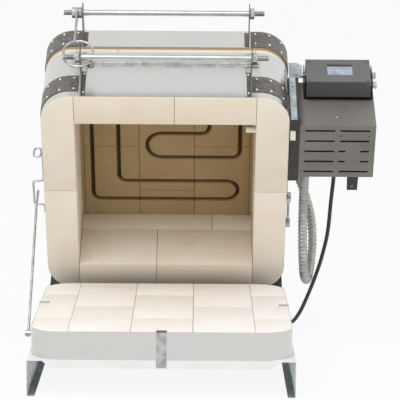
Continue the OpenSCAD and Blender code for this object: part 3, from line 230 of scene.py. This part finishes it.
# Where things stand: drawings are in millimetres with the slab's middle at X and Y 0.
# KILN moves them to the shared frame, and OPEN also tilts them back about the rear hinge.
MID_X, MID_Y = 74.45, 121.306
HALF, CORNER_R = 241.3, 57.0
FOOT, LID_FOOT = 120.5, 286.1
AXIS_Y, AXIS_Z, OPEN_DEG = 249.3, 68.0, 60.0
KILN = Matrix.Scale(0.001, 4) @ Matrix.Translation((-MID_X, -MID_Y, 0))
OPEN = (KILN @ Matrix.Translation((0, AXIS_Y, AXIS_Z))
        @ Matrix.Rotation(math.radians(-OPEN_DEG), 4, "X")
        @ Matrix.Translation((0, -AXIS_Y, -AXIS_Z)))


def alone(*objects):
    if bpy.context.object and bpy.context.object.mode != "OBJECT":
        bpy.ops.object.mode_set(mode="OBJECT")
    bpy.ops.object.select_all(action="DESELECT")
    for item in objects:
        item.select_set(True)
    if objects:
        bpy.context.view_layer.objects.active = objects[-1]


def apply_all(item):
    alone(item)
    for step in list(item.modifiers):
        bpy.ops.object.modifier_apply(modifier=step.name)


def bake_place(item, matrix):
    item.data.transform(matrix @ item.matrix_basis)
    item.matrix_basis = Matrix.Identity(4)


def set_down(item, name, matrix, body, slot, finish, *replaced, angle=35):
    item.name = name
    item.data.name = name
    bake_place(item, matrix)
    item.data.materials.clear()
    item.data.materials.append(finish)
    alone(item)
    bpy.ops.object.shade_smooth_by_angle(angle=math.radians(angle))
    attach(item, body)
    if replaced:
        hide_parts(*replaced)
    return item


def copies(item, matrices):
    made = [item]
    for place in matrices[1:]:
        twin = item.copy()
        twin.data = item.data.copy()
        scene.collection.objects.link(twin)
        twin.data.transform(place)
        made.append(twin)
    item.data.transform(matrices[0])
    alone(*made)
    bpy.context.view_layer.objects.active = item
    bpy.ops.object.join()
    return bpy.context.object


# Pan-head screws of the stand and controls: cold-headed steel, domed, with a cross recess.
# Each head is modelled once, standing on Z, and copied to its places.
def screw_head(radius, height):
    alone()
    bpy.ops.mesh.primitive_cylinder_add(vertices=32, radius=radius, depth=height,
                                        location=(0, 0, height / 2))
    head = bpy.context.object
    edge = head.modifiers.new("round", "BEVEL")
    edge.width = height * 0.75
    edge.segments = 4
    edge.limit_method = "ANGLE"
    edge.harden_normals = False
    apply_all(head)
    for length, width in ((radius * 1.15, radius * 0.24), (radius * 0.24, radius * 1.15)):
        alone()
        bpy.ops.mesh.primitive_cube_add(size=1, location=(0, 0, height))
        bit = bpy.context.object
        bit.scale = (length, width, height)
        cut = head.modifiers.new("recess", "BOOLEAN")
        cut.operation = "DIFFERENCE"
        cut.object = bit
        bpy.context.view_layer.update()
        apply_all(head)
        bpy.data.objects.remove(bit)
    return head


def facing(x, y, z, axis):
    return Matrix.Translation((x, y, z)) @ Vector(axis).to_track_quat("Z", "Y").to_matrix().to_4x4()


STAND_HALF, STAND_SCREW_Z = 245.0, 60
stand_places = [facing(sx * STAND_HALF, y, STAND_SCREW_Z, (sx, 0, 0))
                for sx in (-1, 1) for y in (-170, 0, 170)]
heads = copies(screw_head(4, 2), stand_places)
set_down(heads, "stand_screw_heads", KILN, "root", "zinc_plate", zinc, "stand_screws")

# Firebrick: light insulating brick, cut and ground, pale and porous, a little pinker or
# creamier from brick to brick, with chipped arrises and open pores of about a millimetre.
PORE = 1.4


def softened(name, width):
    node = nodes[name]
    brick = bpy.data.objects.new(name + "_soft", node.data.copy())
    scene.collection.objects.link(brick)
    alone(brick)
    bpy.ops.object.mode_set(mode="EDIT")
    bpy.ops.mesh.select_all(action="SELECT")
    bpy.ops.mesh.remove_doubles(threshold=0.000005)
    bpy.ops.mesh.dissolve_limited(angle_limit=math.radians(0.4))
    bpy.ops.object.mode_set(mode="OBJECT")
    brick.data.polygons.foreach_set("use_smooth", [False] * len(brick.data.polygons))
    for old in [a for a in brick.data.attributes if a.name in ("sharp_edge", "custom_normal")]:
        brick.data.attributes.remove(old)
    edge = brick.modifiers.new("arris", "BEVEL")
    edge.width = width
    edge.segments = 2
    edge.limit_method = "ANGLE"
    edge.angle_limit = math.radians(40)
    apply_all(brick)
    return brick


def tint_bricks(brick, seed):
    mesh = brick.data
    group = list(range(len(mesh.vertices)))

    def top(k):
        while group[k] != k:
            group[k] = group[group[k]]
            k = group[k]
        return k

    for side in mesh.edges:
        a, b = top(side.vertices[0]), top(side.vertices[1])
        if a != b:
            group[max(a, b)] = min(a, b)
    random.seed(seed)
    shades = {k: random.random() for k in sorted({top(k) for k in range(len(group))})}
    tint = mesh.attributes.new("brick_tint", "FLOAT", "POINT")
    tint.data.foreach_set("value", [shades[top(k)] for k in range(len(group))])


def firebrick(name, pale, warm, stain_and_pore_shade, pink=0.5):
    made, tree, shader = material(name, pale, 0.92, 0.0, Specular_IOR_Level=0.25)
    each = add(tree, "Attribute", {"attribute_name": "brick_tint"}).outputs["Fac"]
    clouds = pattern(tree, 70, 4)
    between = add(tree, "Math", {"operation": "MULTIPLY_ADD", 1: pink, 2: -0.1}, i0=each)
    total = add(tree, "Math", {"operation": "ADD"}, i0=between.outputs[0], i1=clouds)
    body = shade(tree, total.outputs[0], 0.25, 0.95, pale, warm)
    blot = shade(tree, pattern(tree, 26, 5), 0.62, 0.8, "#000000", "#FFFFFF")
    soft = add(tree, "Math", {"operation": "MULTIPLY", 1: 0.3}, i0=blot)
    stain_and_pore_shade_rgb = add(tree, "RGB")
    stain_and_pore_shade_rgb.outputs[0].default_value = colour(stain_and_pore_shade)
    mixed = blend_in(tree, soft.outputs[0], body, stain_and_pore_shade_rgb.outputs[0])
    # Painted shade in the pores: the middle of each pore is tinted 30% toward the stain colour, on top of
    # the pits that the bump makes there.
    holes = add(tree, "TexVoronoi", {"Scale": 1000 / (PORE * 3.2)},
                Vector=add(tree, "TexCoord").outputs["Object"])
    pores = shade(tree, holes.outputs["Distance"], 0.08, 0.3, "#000000", "#FFFFFF")
    dark = blend_in(tree, pores, stain_and_pore_shade_rgb.outputs[0], mixed)
    faint = add(tree, "Mix", {"data_type": "RGBA", 0: 0.3})
    tree.links.new(mixed, faint.inputs[6])
    tree.links.new(dark, faint.inputs[7])
    tree.links.new(faint.outputs[2], shader.inputs["Base Color"])
    grit = add(tree, "Math", {"operation": "ADD"}, i0=pattern(tree, PORE, 4), i1=pores)
    bump(tree, shader, grit.outputs[0], 0.25, 0.45)
    return made


# Base slab of five columns of white brick, laid dry in its tray.
slab_finish = firebrick("white insulating firebrick", "#FDF9F3", "#F7EDE3", "#E9DCCD", 0.25)
slab = softened("base_slab", 0.0011)
tint_bricks(slab, 3)
set_down(slab, "base_slab_bricks", Matrix.Identity(4), "root", "slab_brick", slab_finish,
         "base_slab")

# Ring of two courses of brick, creamy outside and fired warmer on the chamber's walls.
ring_finish = firebrick("cream insulating firebrick", "#EEE6D8", "#E8DAC6", "#D3BD9C", 0.35)
ring = softened("ring_bricks", 0.0007)
tint_bricks(ring, 8)
set_down(ring, "ring_wall_bricks", Matrix.Identity(4), "ring", "ring_brick", ring_finish,
         "ring_bricks")

# Lid of brick with the element's grooves cut in its hot face, browned by the heat.
lid_finish = firebrick("heat-browned firebrick", "#AF9874", "#A18964", "#7D653F", 0.2)
lid = softened("lid_bricks", 0.0011)
tint_bricks(lid, 5)
set_down(lid, "lid_slab_bricks", Matrix.Identity(4), "lid", "lid_brick", lid_finish,
         "lid_bricks")

# Jacket, lid cover, tray and terminal box: bright cold-rolled stainless sheet, folded and
# bent round the bricks. The mill finish is nearly a mirror, with a faint grain along it.
stainless, tree, shader = material("bright rolled stainless sheet", "#D2D2D0", 0.25, 1.0)
roughen(tree, shader, pattern(tree, 220, 2), 0.22, 0.28)
tree.links.new(shade(tree, pattern(tree, 260, 1), 0.2, 0.8, "#CFCFCD", "#D4D4D2"),
               shader.inputs["Base Color"])
bump(tree, shader, pattern(tree, 1.5, 2, (0.02, 1, 1)), 0.02, 0.15)
dress(stainless, "base_tray", "base_front_cover", "ring_jacket", "lid_cover", "lid_terminal_box")

# Corner plates and brackets: sheet steel with a thin dark oiled oxide that looks mottled
# and half polished where it has been rubbed.
dark, tree, shader = material("dark oxide sheet steel", "#6E6B68", 0.4, 0.6)
tree.links.new(shade(tree, pattern(tree, 7, 5), 0.3, 0.72, "#5B5855", "#827E79"),
               shader.inputs["Base Color"])
roughen(tree, shader, pattern(tree, 12), 0.32, 0.55)
bump(tree, shader, pattern(tree, 2), 0.05, 0.3)
dress(dark, "ring_corner_plates", "lid_corner_plates", "ring_brackets", "lid_brackets")

# Hinges, standoff and cradle: the same sheet in satin black stoving enamel.
black, tree, shader = material("satin black enamel on steel", "#2B2A29", 0.45, 0.0)
tree.links.new(shade(tree, pattern(tree, 30), 0.3, 0.7, "#232222", "#373533"),
               shader.inputs["Base Color"])
bump(tree, shader, pattern(tree, 1.4), 0.05, 0.35)
dress(black, "hinge_stand_leaf", "hinge_ring_leaf", "lid_hinge_ring_leaves",
      "lid_hinge_lid_leaves", "control_standoff", "controller_cradle")

# Dome rivets of bright steel through the corner plates and the bracket flanges.
RIVET_R, RIVET_H = 2.8, 1.5
RIVET_X, RIVET_DEGREES = 177, (21, 50)
PLATE_T, BRACKET_T, JACKET_T, COVER_T = 1.5, 1.5, 0.8, 1.2
rivet_steel, tree, shader = material("bright steel rivet", "#D6D6D4", 0.22, 1.0)
roughen(tree, shader, pattern(tree, 3), 0.16, 0.34)


def dome():
    alone()
    bpy.ops.mesh.primitive_uv_sphere_add(segments=20, ring_count=12, radius=1)
    head = bpy.context.object
    bpy.ops.object.mode_set(mode="EDIT")
    bpy.ops.mesh.select_all(action="SELECT")
    bpy.ops.mesh.bisect(plane_co=(0, 0, 0), plane_no=(0, 0, 1), clear_inner=True, use_fill=True)
    bpy.ops.object.mode_set(mode="OBJECT")
    head.scale = (RIVET_R, RIVET_R, RIVET_H)
    bake_place(head, Matrix.Identity(4))
    return head


def corner_places(sheet, rows):
    for sx in (-1, 1):
        for z in rows:
            yield facing(sx * RIVET_X, -HALF - sheet - PLATE_T, z, (0, -1, 0))
            for degrees in RIVET_DEGREES:
                a = math.radians(sx * degrees)
                out = Vector((math.sin(a), -math.cos(a), 0))
                at = Vector((sx * (HALF - CORNER_R), CORNER_R - HALF, z))
                at += out * (CORNER_R + sheet + PLATE_T)
                yield facing(*at, out)


ring_places = list(corner_places(JACKET_T, (FOOT + 27, FOOT + 62)))
ring_places += [facing(x, -HALF - JACKET_T - BRACKET_T, z, (0, -1, 0))
                for x in (-159, 162) for z in (FOOT + 15, FOOT + 76)]
set_down(copies(dome(), ring_places), "ring_rivet_domes", OPEN, "ring", "stainless",
         rivet_steel, "ring_rivets")
lid_places = list(corner_places(COVER_T, (LID_FOOT + 19.5, LID_FOOT + 52.5)))
set_down(copies(dome(), lid_places), "lid_rivet_domes", OPEN, "lid", "stainless",
         rivet_steel, "lid_rivets")

# Element: resistance wire wound into a close coil and pressed into the lid's groove,
# browned by firing. Its coils are drawn 2.9 mm apart, as they look in the groove.
WIRE_R, COIL_PITCH, COIL_R, COIL_POINTS = 0.62, 2.9, 2.6, 10
ELEMENT_Z = LID_FOOT + 9 - 3.25
TURN_A, TURN_B, BEND = 23.75, 30.5, 16.0
element_corners = [
    (-99.5, -118.7, 0), (-99.5, 89.3, BEND), (124 + TURN_A, 89.3, TURN_A),
    (124 + TURN_A, 136.8, TURN_A), (-154, 136.8, BEND), (-154, -153.7, BEND),
    (150.6, -153.7, BEND), (150.6, 27.3, BEND), (-10 - TURN_B, 27.3, TURN_B),
    (-10 - TURN_B, -33.7, TURN_B), (87.3, -33.7, BEND), (87.3, -118.7, 0),
]


def rounded(corners, steps=14):
    way = []
    for k, (x, y, r) in enumerate(corners):
        here = Vector((x, y))
        if r == 0:
            way.append(here)
            continue
        before = (Vector(corners[k - 1][:2]) - here).normalized()
        after = (Vector(corners[k + 1][:2]) - here).normalized()
        centre = here + r * (before + after)
        for j in range(steps + 1):
            a = math.pi / 2 * j / steps
            way.append(centre - r * (math.cos(a) * after + math.sin(a) * before))
    return way


def evenly(way, step):
    lengths = [0.0]
    for a, b in zip(way, way[1:]):
        lengths.append(lengths[-1] + (b - a).length)
    count = max(2, round(lengths[-1] / step))
    points, k = [], 0
    for n in range(count + 1):
        s = lengths[-1] * n / count
        while k < len(lengths) - 2 and lengths[k + 1] < s:
            k += 1
        span = lengths[k + 1] - lengths[k]
        points.append(way[k].lerp(way[k + 1], (s - lengths[k]) / span if span else 0))
    return points


def wire(name, points, radius, sides=0, closed=False):
    curve = bpy.data.curves.new(name, "CURVE")
    curve.dimensions = "3D"
    curve.bevel_depth = radius
    curve.bevel_resolution = sides
    curve.use_fill_caps = not closed
    line = curve.splines.new("POLY")
    line.points.add(len(points) - 1)
    for point, at in zip(line.points, points):
        point.co = (*at, 1)
    line.use_cyclic_u = closed
    item = bpy.data.objects.new(name, curve)
    scene.collection.objects.link(item)
    return item


def as_mesh(item):
    alone(item)
    bpy.ops.object.convert(target="MESH")
    return bpy.context.object


path = evenly(rounded(element_corners), COIL_PITCH / COIL_POINTS)
coil = []
for k, at in enumerate(path):
    along = (path[min(k + 1, len(path) - 1)] - path[max(k - 1, 0)]).normalized()
    a = 2 * math.pi * k / COIL_POINTS
    side = Vector((-along.y, along.x, 0)) * (COIL_R * math.cos(a))
    coil.append(Vector((at.x, at.y, ELEMENT_Z + COIL_R * math.sin(a))) + side)
element_wire, tree, shader = material("oxidised resistance wire", "#453119", 0.6, 0.25)
tree.links.new(shade(tree, pattern(tree, 11), 0.3, 0.7, "#362613", "#5A4224"),
               shader.inputs["Base Color"])
winding = as_mesh(wire("winding", coil, WIRE_R))
set_down(winding, "element_winding", OPEN, "lid", "element_wire", element_wire, "element",
         angle=60)

# Handle rods of bright drawn steel, threaded at both ends for the nuts.
rod_steel, tree, shader = material("bright drawn steel", "#B4B4B2", 0.24, 1.0)
roughen(tree, shader, pattern(tree, 20, 3, (0.05, 1, 1)), 0.2, 0.36)
tree.links.new(shade(tree, pattern(tree, 30), 0.3, 0.7, "#A9A9A7", "#BEBEBC"),
               shader.inputs["Base Color"])


def threaded_rod(start, end, y, z, radius, thread=22, pitch=1.75):
    alone()
    plain = end - start - 2 * thread
    bpy.ops.mesh.primitive_cylinder_add(vertices=32, radius=radius, depth=plain)
    bpy.ops.object.mode_set(mode="EDIT")
    rod = bpy.context.object
    bpy.ops.mesh.select_mode(type="FACE")
    for sign in (-1, 1):
        bpy.ops.mesh.select_all(action="DESELECT")
        bpy.ops.object.mode_set(mode="OBJECT")
        for face in rod.data.polygons:
            face.select = face.normal.z * sign > 0.9 and face.center.z * sign > plain / 2 - 0.1
        bpy.ops.object.mode_set(mode="EDIT")
        turns = int(thread / pitch)
        step = thread / turns / 2
        for k in range(turns):
            for size in (1 - 0.9 / radius, 1 / (1 - 0.9 / radius)):
                if k == turns - 1 and size > 1:
                    size = 0.98
                bpy.ops.mesh.extrude_region_move(
                    TRANSFORM_OT_translate={"value": (0, 0, sign * step)})
                bpy.ops.transform.resize(value=(size, size, 1))
    bpy.ops.object.mode_set(mode="OBJECT")
    rod.data.transform(Matrix.Translation(((start + end) / 2, y, z))
                       @ Matrix.Rotation(math.radians(90), 4, "Y"))
    return rod


ROD_R = 5.5
set_down(threaded_rod(-197.5, 199.7, -304.1, FOOT + 45, ROD_R), "ring_handle_bar", OPEN, "ring",
         "rod_steel", rod_steel, "ring_handle_rod")
set_down(threaded_rod(-204, 194.3, -304.5, LID_FOOT + 34.4, ROD_R), "lid_handle_bar", OPEN, "lid",
         "rod_steel", rod_steel, "lid_handle_rod")

# Hexagon nuts on the rods' ends, cold formed and zinc plated, with chamfered corners.
for name, body in (("ring_handle_nuts", "ring"), ("lid_handle_nuts", "lid")):
    set_down(softened(name, 0.0008), name + "_chamfered", Matrix.Identity(4), body,
             "zinc_plate", zinc, name)

# Split pins of soft steel wire that hang from the prop bar's pivot and its free end.
BAR_Y, BAR_Z, PIN_R = -284, 174, 0.7
for name, x, drop in (("pivot_split_pin", -151, 13), ("bar_split_pin", 156, 15)):
    eye = OPEN @ Vector((x, BAR_Y, BAR_Z)) * 1000
    pin = [eye + Vector((2.2 * math.sin(a), 0, 2.6 * math.cos(a) - 5))
           for a in [math.pi * (k / 8 - 0.85) for k in range(14)]]
    pin = [eye + Vector((1.0, 0, -drop - 5))] + pin + [eye + Vector((-1.4, 0.5, -drop - 3))]
    set_down(as_mesh(wire(name, pin, PIN_R, 2)), name, Matrix.Scale(0.001, 4), "ring",
             "zinc_plate", zinc)

# Control box: folded sheet in grey powder coat, which has a fine orange-peel texture.
box_paint, tree, shader = material("grey powder coat", "#74706C", 0.48)
tree.links.new(shade(tree, pattern(tree, 60), 0.3, 0.7, "#6F6B67", "#7B7773"),
               shader.inputs["Base Color"])
bump(tree, shader, pattern(tree, 1.3), 0.06, 0.4)
dress(box_paint, "control_box", "control_box_back")
BOX_X, BOX_Y, BOX_Y_FAR, BOX_TOP = 263.0, -177.0, -52.0, FOOT + 146
BOX_W, VENT_FROM, VENT_PITCH = 148, 12.3, 24.85
screw_places = [facing(BOX_X + 5, y, FOOT, (0, 0, -1)) for y in (BOX_Y + 14, BOX_Y_FAR - 14)]
screw_places += [facing(BOX_X + 72, BOX_Y, FOOT + 31, (0, -1, 0)),
                 facing(BOX_X + 109, BOX_Y + VENT_FROM + 3.1 * VENT_PITCH, FOOT, (0, 0, -1))]
screw_places += [facing(BOX_X + BOX_W, y, z, (1, 0, 0)) for y in (BOX_Y + 20, BOX_Y_FAR - 20)
                 for z in (FOOT + 20, BOX_TOP - 20)]
set_down(copies(screw_head(3, 1.5), screw_places), "control_screw_heads", OPEN, "ring",
         "zinc_plate", rivet_steel, "control_screws")

# Tab below the control box: a bent strip of black sheet against the box's rear wall, a
# little narrower at its tip, with one bright pan-head screw near the end.
TAB_X, TAB_W, TAB_L, TAB_T, TAB_RISE = 371.0, 22.5, 33.0, 2.0, 16.0
TAB_SCREW_Y, TAB_TAPER = BOX_Y_FAR + 24, 0.91


def tab_leaf(size, centre):
    alone()
    bpy.ops.mesh.primitive_cube_add(size=1)
    leaf = bpy.context.object
    leaf.data.transform(Matrix.Translation(centre) @ Matrix.Diagonal((*size, 1)))
    return leaf


strip_leaf = tab_leaf((TAB_W, TAB_L - 1, TAB_T - 0.2),
                      (TAB_X, BOX_Y_FAR + (TAB_L + 1) / 2, FOOT + 1.1))
for vert in strip_leaf.data.vertices:
    if vert.co.y > BOX_Y_FAR + TAB_L / 2:
        vert.co.x = TAB_X + (vert.co.x - TAB_X) * TAB_TAPER
back_leaf = tab_leaf((TAB_W, TAB_T, TAB_RISE),
                     (TAB_X, BOX_Y_FAR + TAB_T / 2, FOOT + TAB_RISE / 2))
alone(back_leaf, strip_leaf)
bpy.ops.object.join()
tab = bpy.context.object
edge = tab.modifiers.new("arris", "BEVEL")
edge.width, edge.segments = 0.4, 2
apply_all(tab)
set_down(tab, "control_box_tab", OPEN, "ring", "dark_plate", black)
tab_screw = copies(screw_head(4.6, 2.6),
                   [facing(TAB_X, TAB_SCREW_Y, FOOT + 0.2, (0, 0, -1))])
set_down(tab_screw, "control_tab_screw_head", OPEN, "ring", "zinc_plate", rivet_steel)

# Thermocouple's ceramic block and the terminal block: unglazed mullite, off-white, chalky.
mullite, tree, shader = material("unglazed mullite", "#E9E2D3", 0.8)
tree.links.new(shade(tree, pattern(tree, 9), 0.3, 0.7, "#E2D9C7", "#F0EADD"),
               shader.inputs["Base Color"])
bump(tree, shader, pattern(tree, 1), 0.05, 0.4)
dress(mullite, "thermocouple", "terminal_block")

# Controller: a moulded ABS case and relay with a fine spark-eroded texture, and a panel
# of printed film that is left bare. A clear window covers the display.
plastic, tree, shader = material("moulded black ABS", "#505051", 0.4)
bump(tree, shader, pattern(tree, 0.9), 0.04, 0.35)
roughen(tree, shader, pattern(tree, 25), 0.34, 0.48)
dress(plastic, "controller_case", "relay")
film, tree, shader = material("dark printed polyester film", "#606163", 0.36)
tree.links.new(shade(tree, pattern(tree, 50), 0.3, 0.7, "#5B5C5E", "#68696B"),
               shader.inputs["Base Color"])
bump(tree, shader, pattern(tree, 0.8), 0.02, 0.3)
dress(film, "controller_panel")
window, tree, shader = material("clear acrylic window", "#99A3B1", 0.12)
DISPLAY_SPLIT = FOOT + 106 + 29
upward = Vector((0, math.sin(math.radians(OPEN_DEG)), math.cos(math.radians(OPEN_DEG))))
split = (OPEN @ Vector((340, -222, DISPLAY_SPLIT))).dot(upward)
height = add(tree, "VectorMath", {"operation": "DOT_PRODUCT", 1: upward},
             i0=add(tree, "TexCoord").outputs["Object"])
above = add(tree, "Math", {"operation": "GREATER_THAN", 1: split},
            i0=height.outputs["Value"])
glass = shade(tree, pattern(tree, 12, 2), 0.3, 0.75, "#8E98A6", "#AEB7C4")
strip = add(tree, "RGB")
strip.outputs[0].default_value = colour("#161616")
tree.links.new(blend_in(tree, above.outputs[0], glass, strip.outputs[0]),
               shader.inputs["Base Color"])
dress(window, "controller_display")

# Flexible conduit: galvanised steel strip wound into ribs 8 mm apart, from the control box
# to the lid's terminal box. It bends when the lid is lifted. Its first and last points are
# the middles of the two connectors' ends, and AWAY is the way that both of them point.
def curve_through(points, steps):
    way = []
    last = len(points) - 1
    for k in range(last):
        p1, p2 = points[k], points[k + 1]
        p0 = points[k - 1] if k else 2 * p1 - p2
        p3 = points[k + 2] if k + 2 <= last else 2 * p2 - p1
        for j in range(steps):
            t = j / steps
            way.append(0.5 * (2 * p1 + (p2 - p0) * t + (2 * p0 - 5 * p1 + 4 * p2 - p3) * t * t
                              + (3 * p1 - p0 - 3 * p2 + p3) * t ** 3))
    return way + [points[-1]]


def sweep(name, points, radii, sides):
    verts, faces = [], []
    side = None
    for k, (at, r) in enumerate(zip(points, radii)):
        along = (points[min(k + 1, len(points) - 1)] - points[max(k - 1, 0)]).normalized()
        side = side or along.orthogonal().normalized()
        side = (side - along * side.dot(along)).normalized()
        other = along.cross(side)
        for j in range(sides):
            a = 2 * math.pi * j / sides
            verts.append(at + r * (math.cos(a) * side + math.sin(a) * other))
    for k in range(len(points) - 1):
        for j in range(sides):
            a, b = k * sides + j, k * sides + (j + 1) % sides
            faces.append((a, b, b + sides, a + sides))
    mesh = bpy.data.meshes.new(name)
    mesh.from_pydata(verts, [], faces + [tuple(reversed(range(sides))),
                                         tuple(range(len(verts) - sides, len(verts)))])
    item = bpy.data.objects.new(name, mesh)
    scene.collection.objects.link(item)
    return item


AWAY = Vector((0, math.cos(math.radians(OPEN_DEG)), -math.sin(math.radians(OPEN_DEG))))
conduit_from, conduit_to = Vector((278, 189.757, 356.131)), Vector((272, 370.739, 358.661))
conduit_points = [conduit_from, conduit_from + 30 * AWAY] + [Vector(p) for p in (
    (278, 226, 285), (278, 237, 240), (279, 243, 195), (283, 262, 141), (292, 311, 118),
    (301, 359, 138), (306, 379, 186), (302, 388, 240), (288, 390, 290))]
conduit_points += [conduit_to + 30 * AWAY, conduit_to]
RIB_PITCH, CONDUIT_R, RIB_DEPTH = 8.0, 9.5, 1.5
conduit_way = evenly(curve_through(conduit_points, 16), RIB_PITCH / 6)
rib = (0.0, 0.45, 1.0, 1.0, 0.9, 0.2)
conduit_radii = [CONDUIT_R - RIB_DEPTH * (1 - rib[k % 6]) for k in range(len(conduit_way))]
hose = sweep("hose", conduit_way, conduit_radii, 24)
conduit_metal, tree, shader = material("galvanised steel strip", "#A9A9A6", 0.36, 0.7)
tree.links.new(shade(tree, pattern(tree, 10), 0.3, 0.7, "#979795", "#B9B9B6"),
               shader.inputs["Base Color"])
roughen(tree, shader, pattern(tree, 6), 0.28, 0.48)
bake_place(hose, KILN)
hose.name = "conduit_hose"
hose.data.materials.append(conduit_metal)
alone(hose)
bpy.ops.object.shade_smooth_by_angle(angle=math.radians(50))
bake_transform(hose, "ring", "lid", start=tuple(KILN @ conduit_from), end=tuple(KILN @ conduit_to))
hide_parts("conduit")

# Power cord: 1.8 m of round black PVC cord 8 mm thick. It hangs from the gland to the floor
# behind the base, where the rest lies in a tied coil that ends in a moulded plug.
CORD_D, COIL_X, COIL_Y, TURNS = 8.0, 110.0, 387.0, 4.5
COIL_OUTER, COIL_STEP, COIL_SEGMENTS = 52.9, 8.6, 48
cord_from = Vector((338, 214.078, 354.007))
cord_points = [cord_from, cord_from + 20 * AWAY] + [Vector(p) for p in (
    (335, 240, 294), (331, 262, 229), (324, 285, 183), (314, 315, 136), (296, 352, 75),
    (279, 380, 30), (262, 405, 6), (235, 425, 4), (200, 440, 4), (150, 439.9, 4),
    (118, 439.9, 4))]
cord_way = curve_through(cord_points, 12)
for k in range(int(TURNS * COIL_SEGMENTS) + 1):
    t = k / COIL_SEGMENTS
    r = COIL_OUTER - COIL_STEP * min(t, TURNS - t)
    climb = min(1, max(0, (t - TURNS / 2) * 2 + 0.5))
    a = math.radians(90 + 360 * t)
    cord_way.append(Vector((COIL_X + r * math.cos(a), COIL_Y + r * math.sin(a),
                            4 + COIL_STEP * climb)))
plug_from = Vector((118, COIL_Y - COIL_OUTER, 4 + COIL_STEP))
cord_way.append(plug_from)
jacket, tree, shader = material("black PVC cord jacket", "#2C2C2F", 0.46)
roughen(tree, shader, pattern(tree, 15), 0.4, 0.55)
bump(tree, shader, pattern(tree, 1.5), 0.03, 0.3)
dress(jacket, "cord_gland")
cord = wire("mains_cord", [KILN @ p for p in cord_way], CORD_D / 2000, 5)
cord.data.materials.append(jacket)
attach(cord, "ring")
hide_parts("power_cord", "cord_coil")

# Plug: moulded on the cord, with a ribbed neck, rounded grip, two blades and an earth pin.
alone()
NECK_R, NECK_RIBS, NECK_STEP = 5.2, 14, 1.85
bpy.ops.mesh.primitive_cylinder_add(vertices=28, radius=NECK_R, depth=1,
                                    rotation=(0, math.pi / 2, 0))
neck = bpy.context.object
bake_place(neck, Matrix.Translation(plug_from))
bpy.ops.object.mode_set(mode="EDIT")
bpy.ops.mesh.select_mode(type="FACE")
bpy.ops.mesh.select_all(action="DESELECT")
bpy.ops.object.mode_set(mode="OBJECT")
for face in neck.data.polygons:
    face.select = face.normal.x > 0.9
bpy.ops.object.mode_set(mode="EDIT")
for k in range(NECK_RIBS):
    size = (1.1, 1 / 1.04)[k % 2]
    bpy.ops.mesh.extrude_region_move(TRANSFORM_OT_translate={"value": (NECK_STEP, 0, 0)})
    bpy.ops.transform.resize(value=(1, size, size),
                             center_override=(0, plug_from.y, plug_from.z))
bpy.ops.object.mode_set(mode="OBJECT")
parts = [neck]
for centre, size, round_by in (
    ((157, 0, 0), (26, 30, 24.8), 4.5),
    ((178.5, 6.35, -1.8), (17, 1.6, 6.4), 0.5), ((178.5, -6.35, -1.8), (17, 1.6, 6.4), 0.5),
    ((179.5, 0, 6), (19, 4.6, 4.6), 1.9),
):
    alone()
    bpy.ops.mesh.primitive_cube_add(size=1, location=(centre[0], plug_from.y + centre[1],
                                                      plug_from.z + centre[2]))
    block = bpy.context.object
    block.scale = size
    bake_place(block, Matrix.Identity(4))
    edge = block.modifiers.new("round", "BEVEL")
    edge.width, edge.segments = round_by, 5
    apply_all(block)
    parts.append(block)
alone(*parts)
bpy.context.view_layer.objects.active = neck
bpy.ops.object.join()
plug_rubber, tree, shader = material("moulded black PVC", "#242427", 0.5)
bump(tree, shader, pattern(tree, 1), 0.05, 0.4)
plug = set_down(neck, "moulded_plug", KILN, "ring", "cord_jacket", plug_rubber, "plug")

# Tie: a black hook-and-loop strap round the coil's turns.
STRAP_SIZE, STRAP_T, STRAP_AT, STRAP_DEGREES = (12, 28.6, 17.2), 1.0, (0, 43.2, 0), 200
alone()
bpy.ops.mesh.primitive_cube_add(size=1)
strap = bpy.context.object
strap.scale = STRAP_SIZE
bake_place(strap, Matrix.Identity(4))
bpy.ops.object.mode_set(mode="EDIT")
bpy.ops.mesh.select_mode(type="FACE")
bpy.ops.mesh.select_all(action="DESELECT")
bpy.ops.object.mode_set(mode="OBJECT")
for face in strap.data.polygons:
    face.select = abs(face.normal.x) > 0.9
bpy.ops.object.mode_set(mode="EDIT")
bpy.ops.mesh.delete(type="FACE")
bpy.ops.object.mode_set(mode="OBJECT")
for kind, settings in (("BEVEL", {"width": 5, "segments": 4, "limit_method": "ANGLE"}),
                       ("SOLIDIFY", {"thickness": STRAP_T, "offset": -1})):
    step = strap.modifiers.new(kind.lower(), kind)
    for key, value in settings.items():
        setattr(step, key, value)
apply_all(strap)
bake_place(strap, Matrix.Translation((COIL_X, COIL_Y, 8.7))
           @ Matrix.Rotation(math.radians(STRAP_DEGREES), 4, "Z")
           @ Matrix.Translation(STRAP_AT))
strap_cloth, tree, shader = material("woven nylon strap", "#1E1E20", 0.85, 0.0, Sheen_Weight=0.3)
bump(tree, shader, pattern(tree, 0.8, 1), 0.1, 0.6)
strap = set_down(strap, "coil_strap", KILN, "ring", "cord_jacket", strap_cloth)
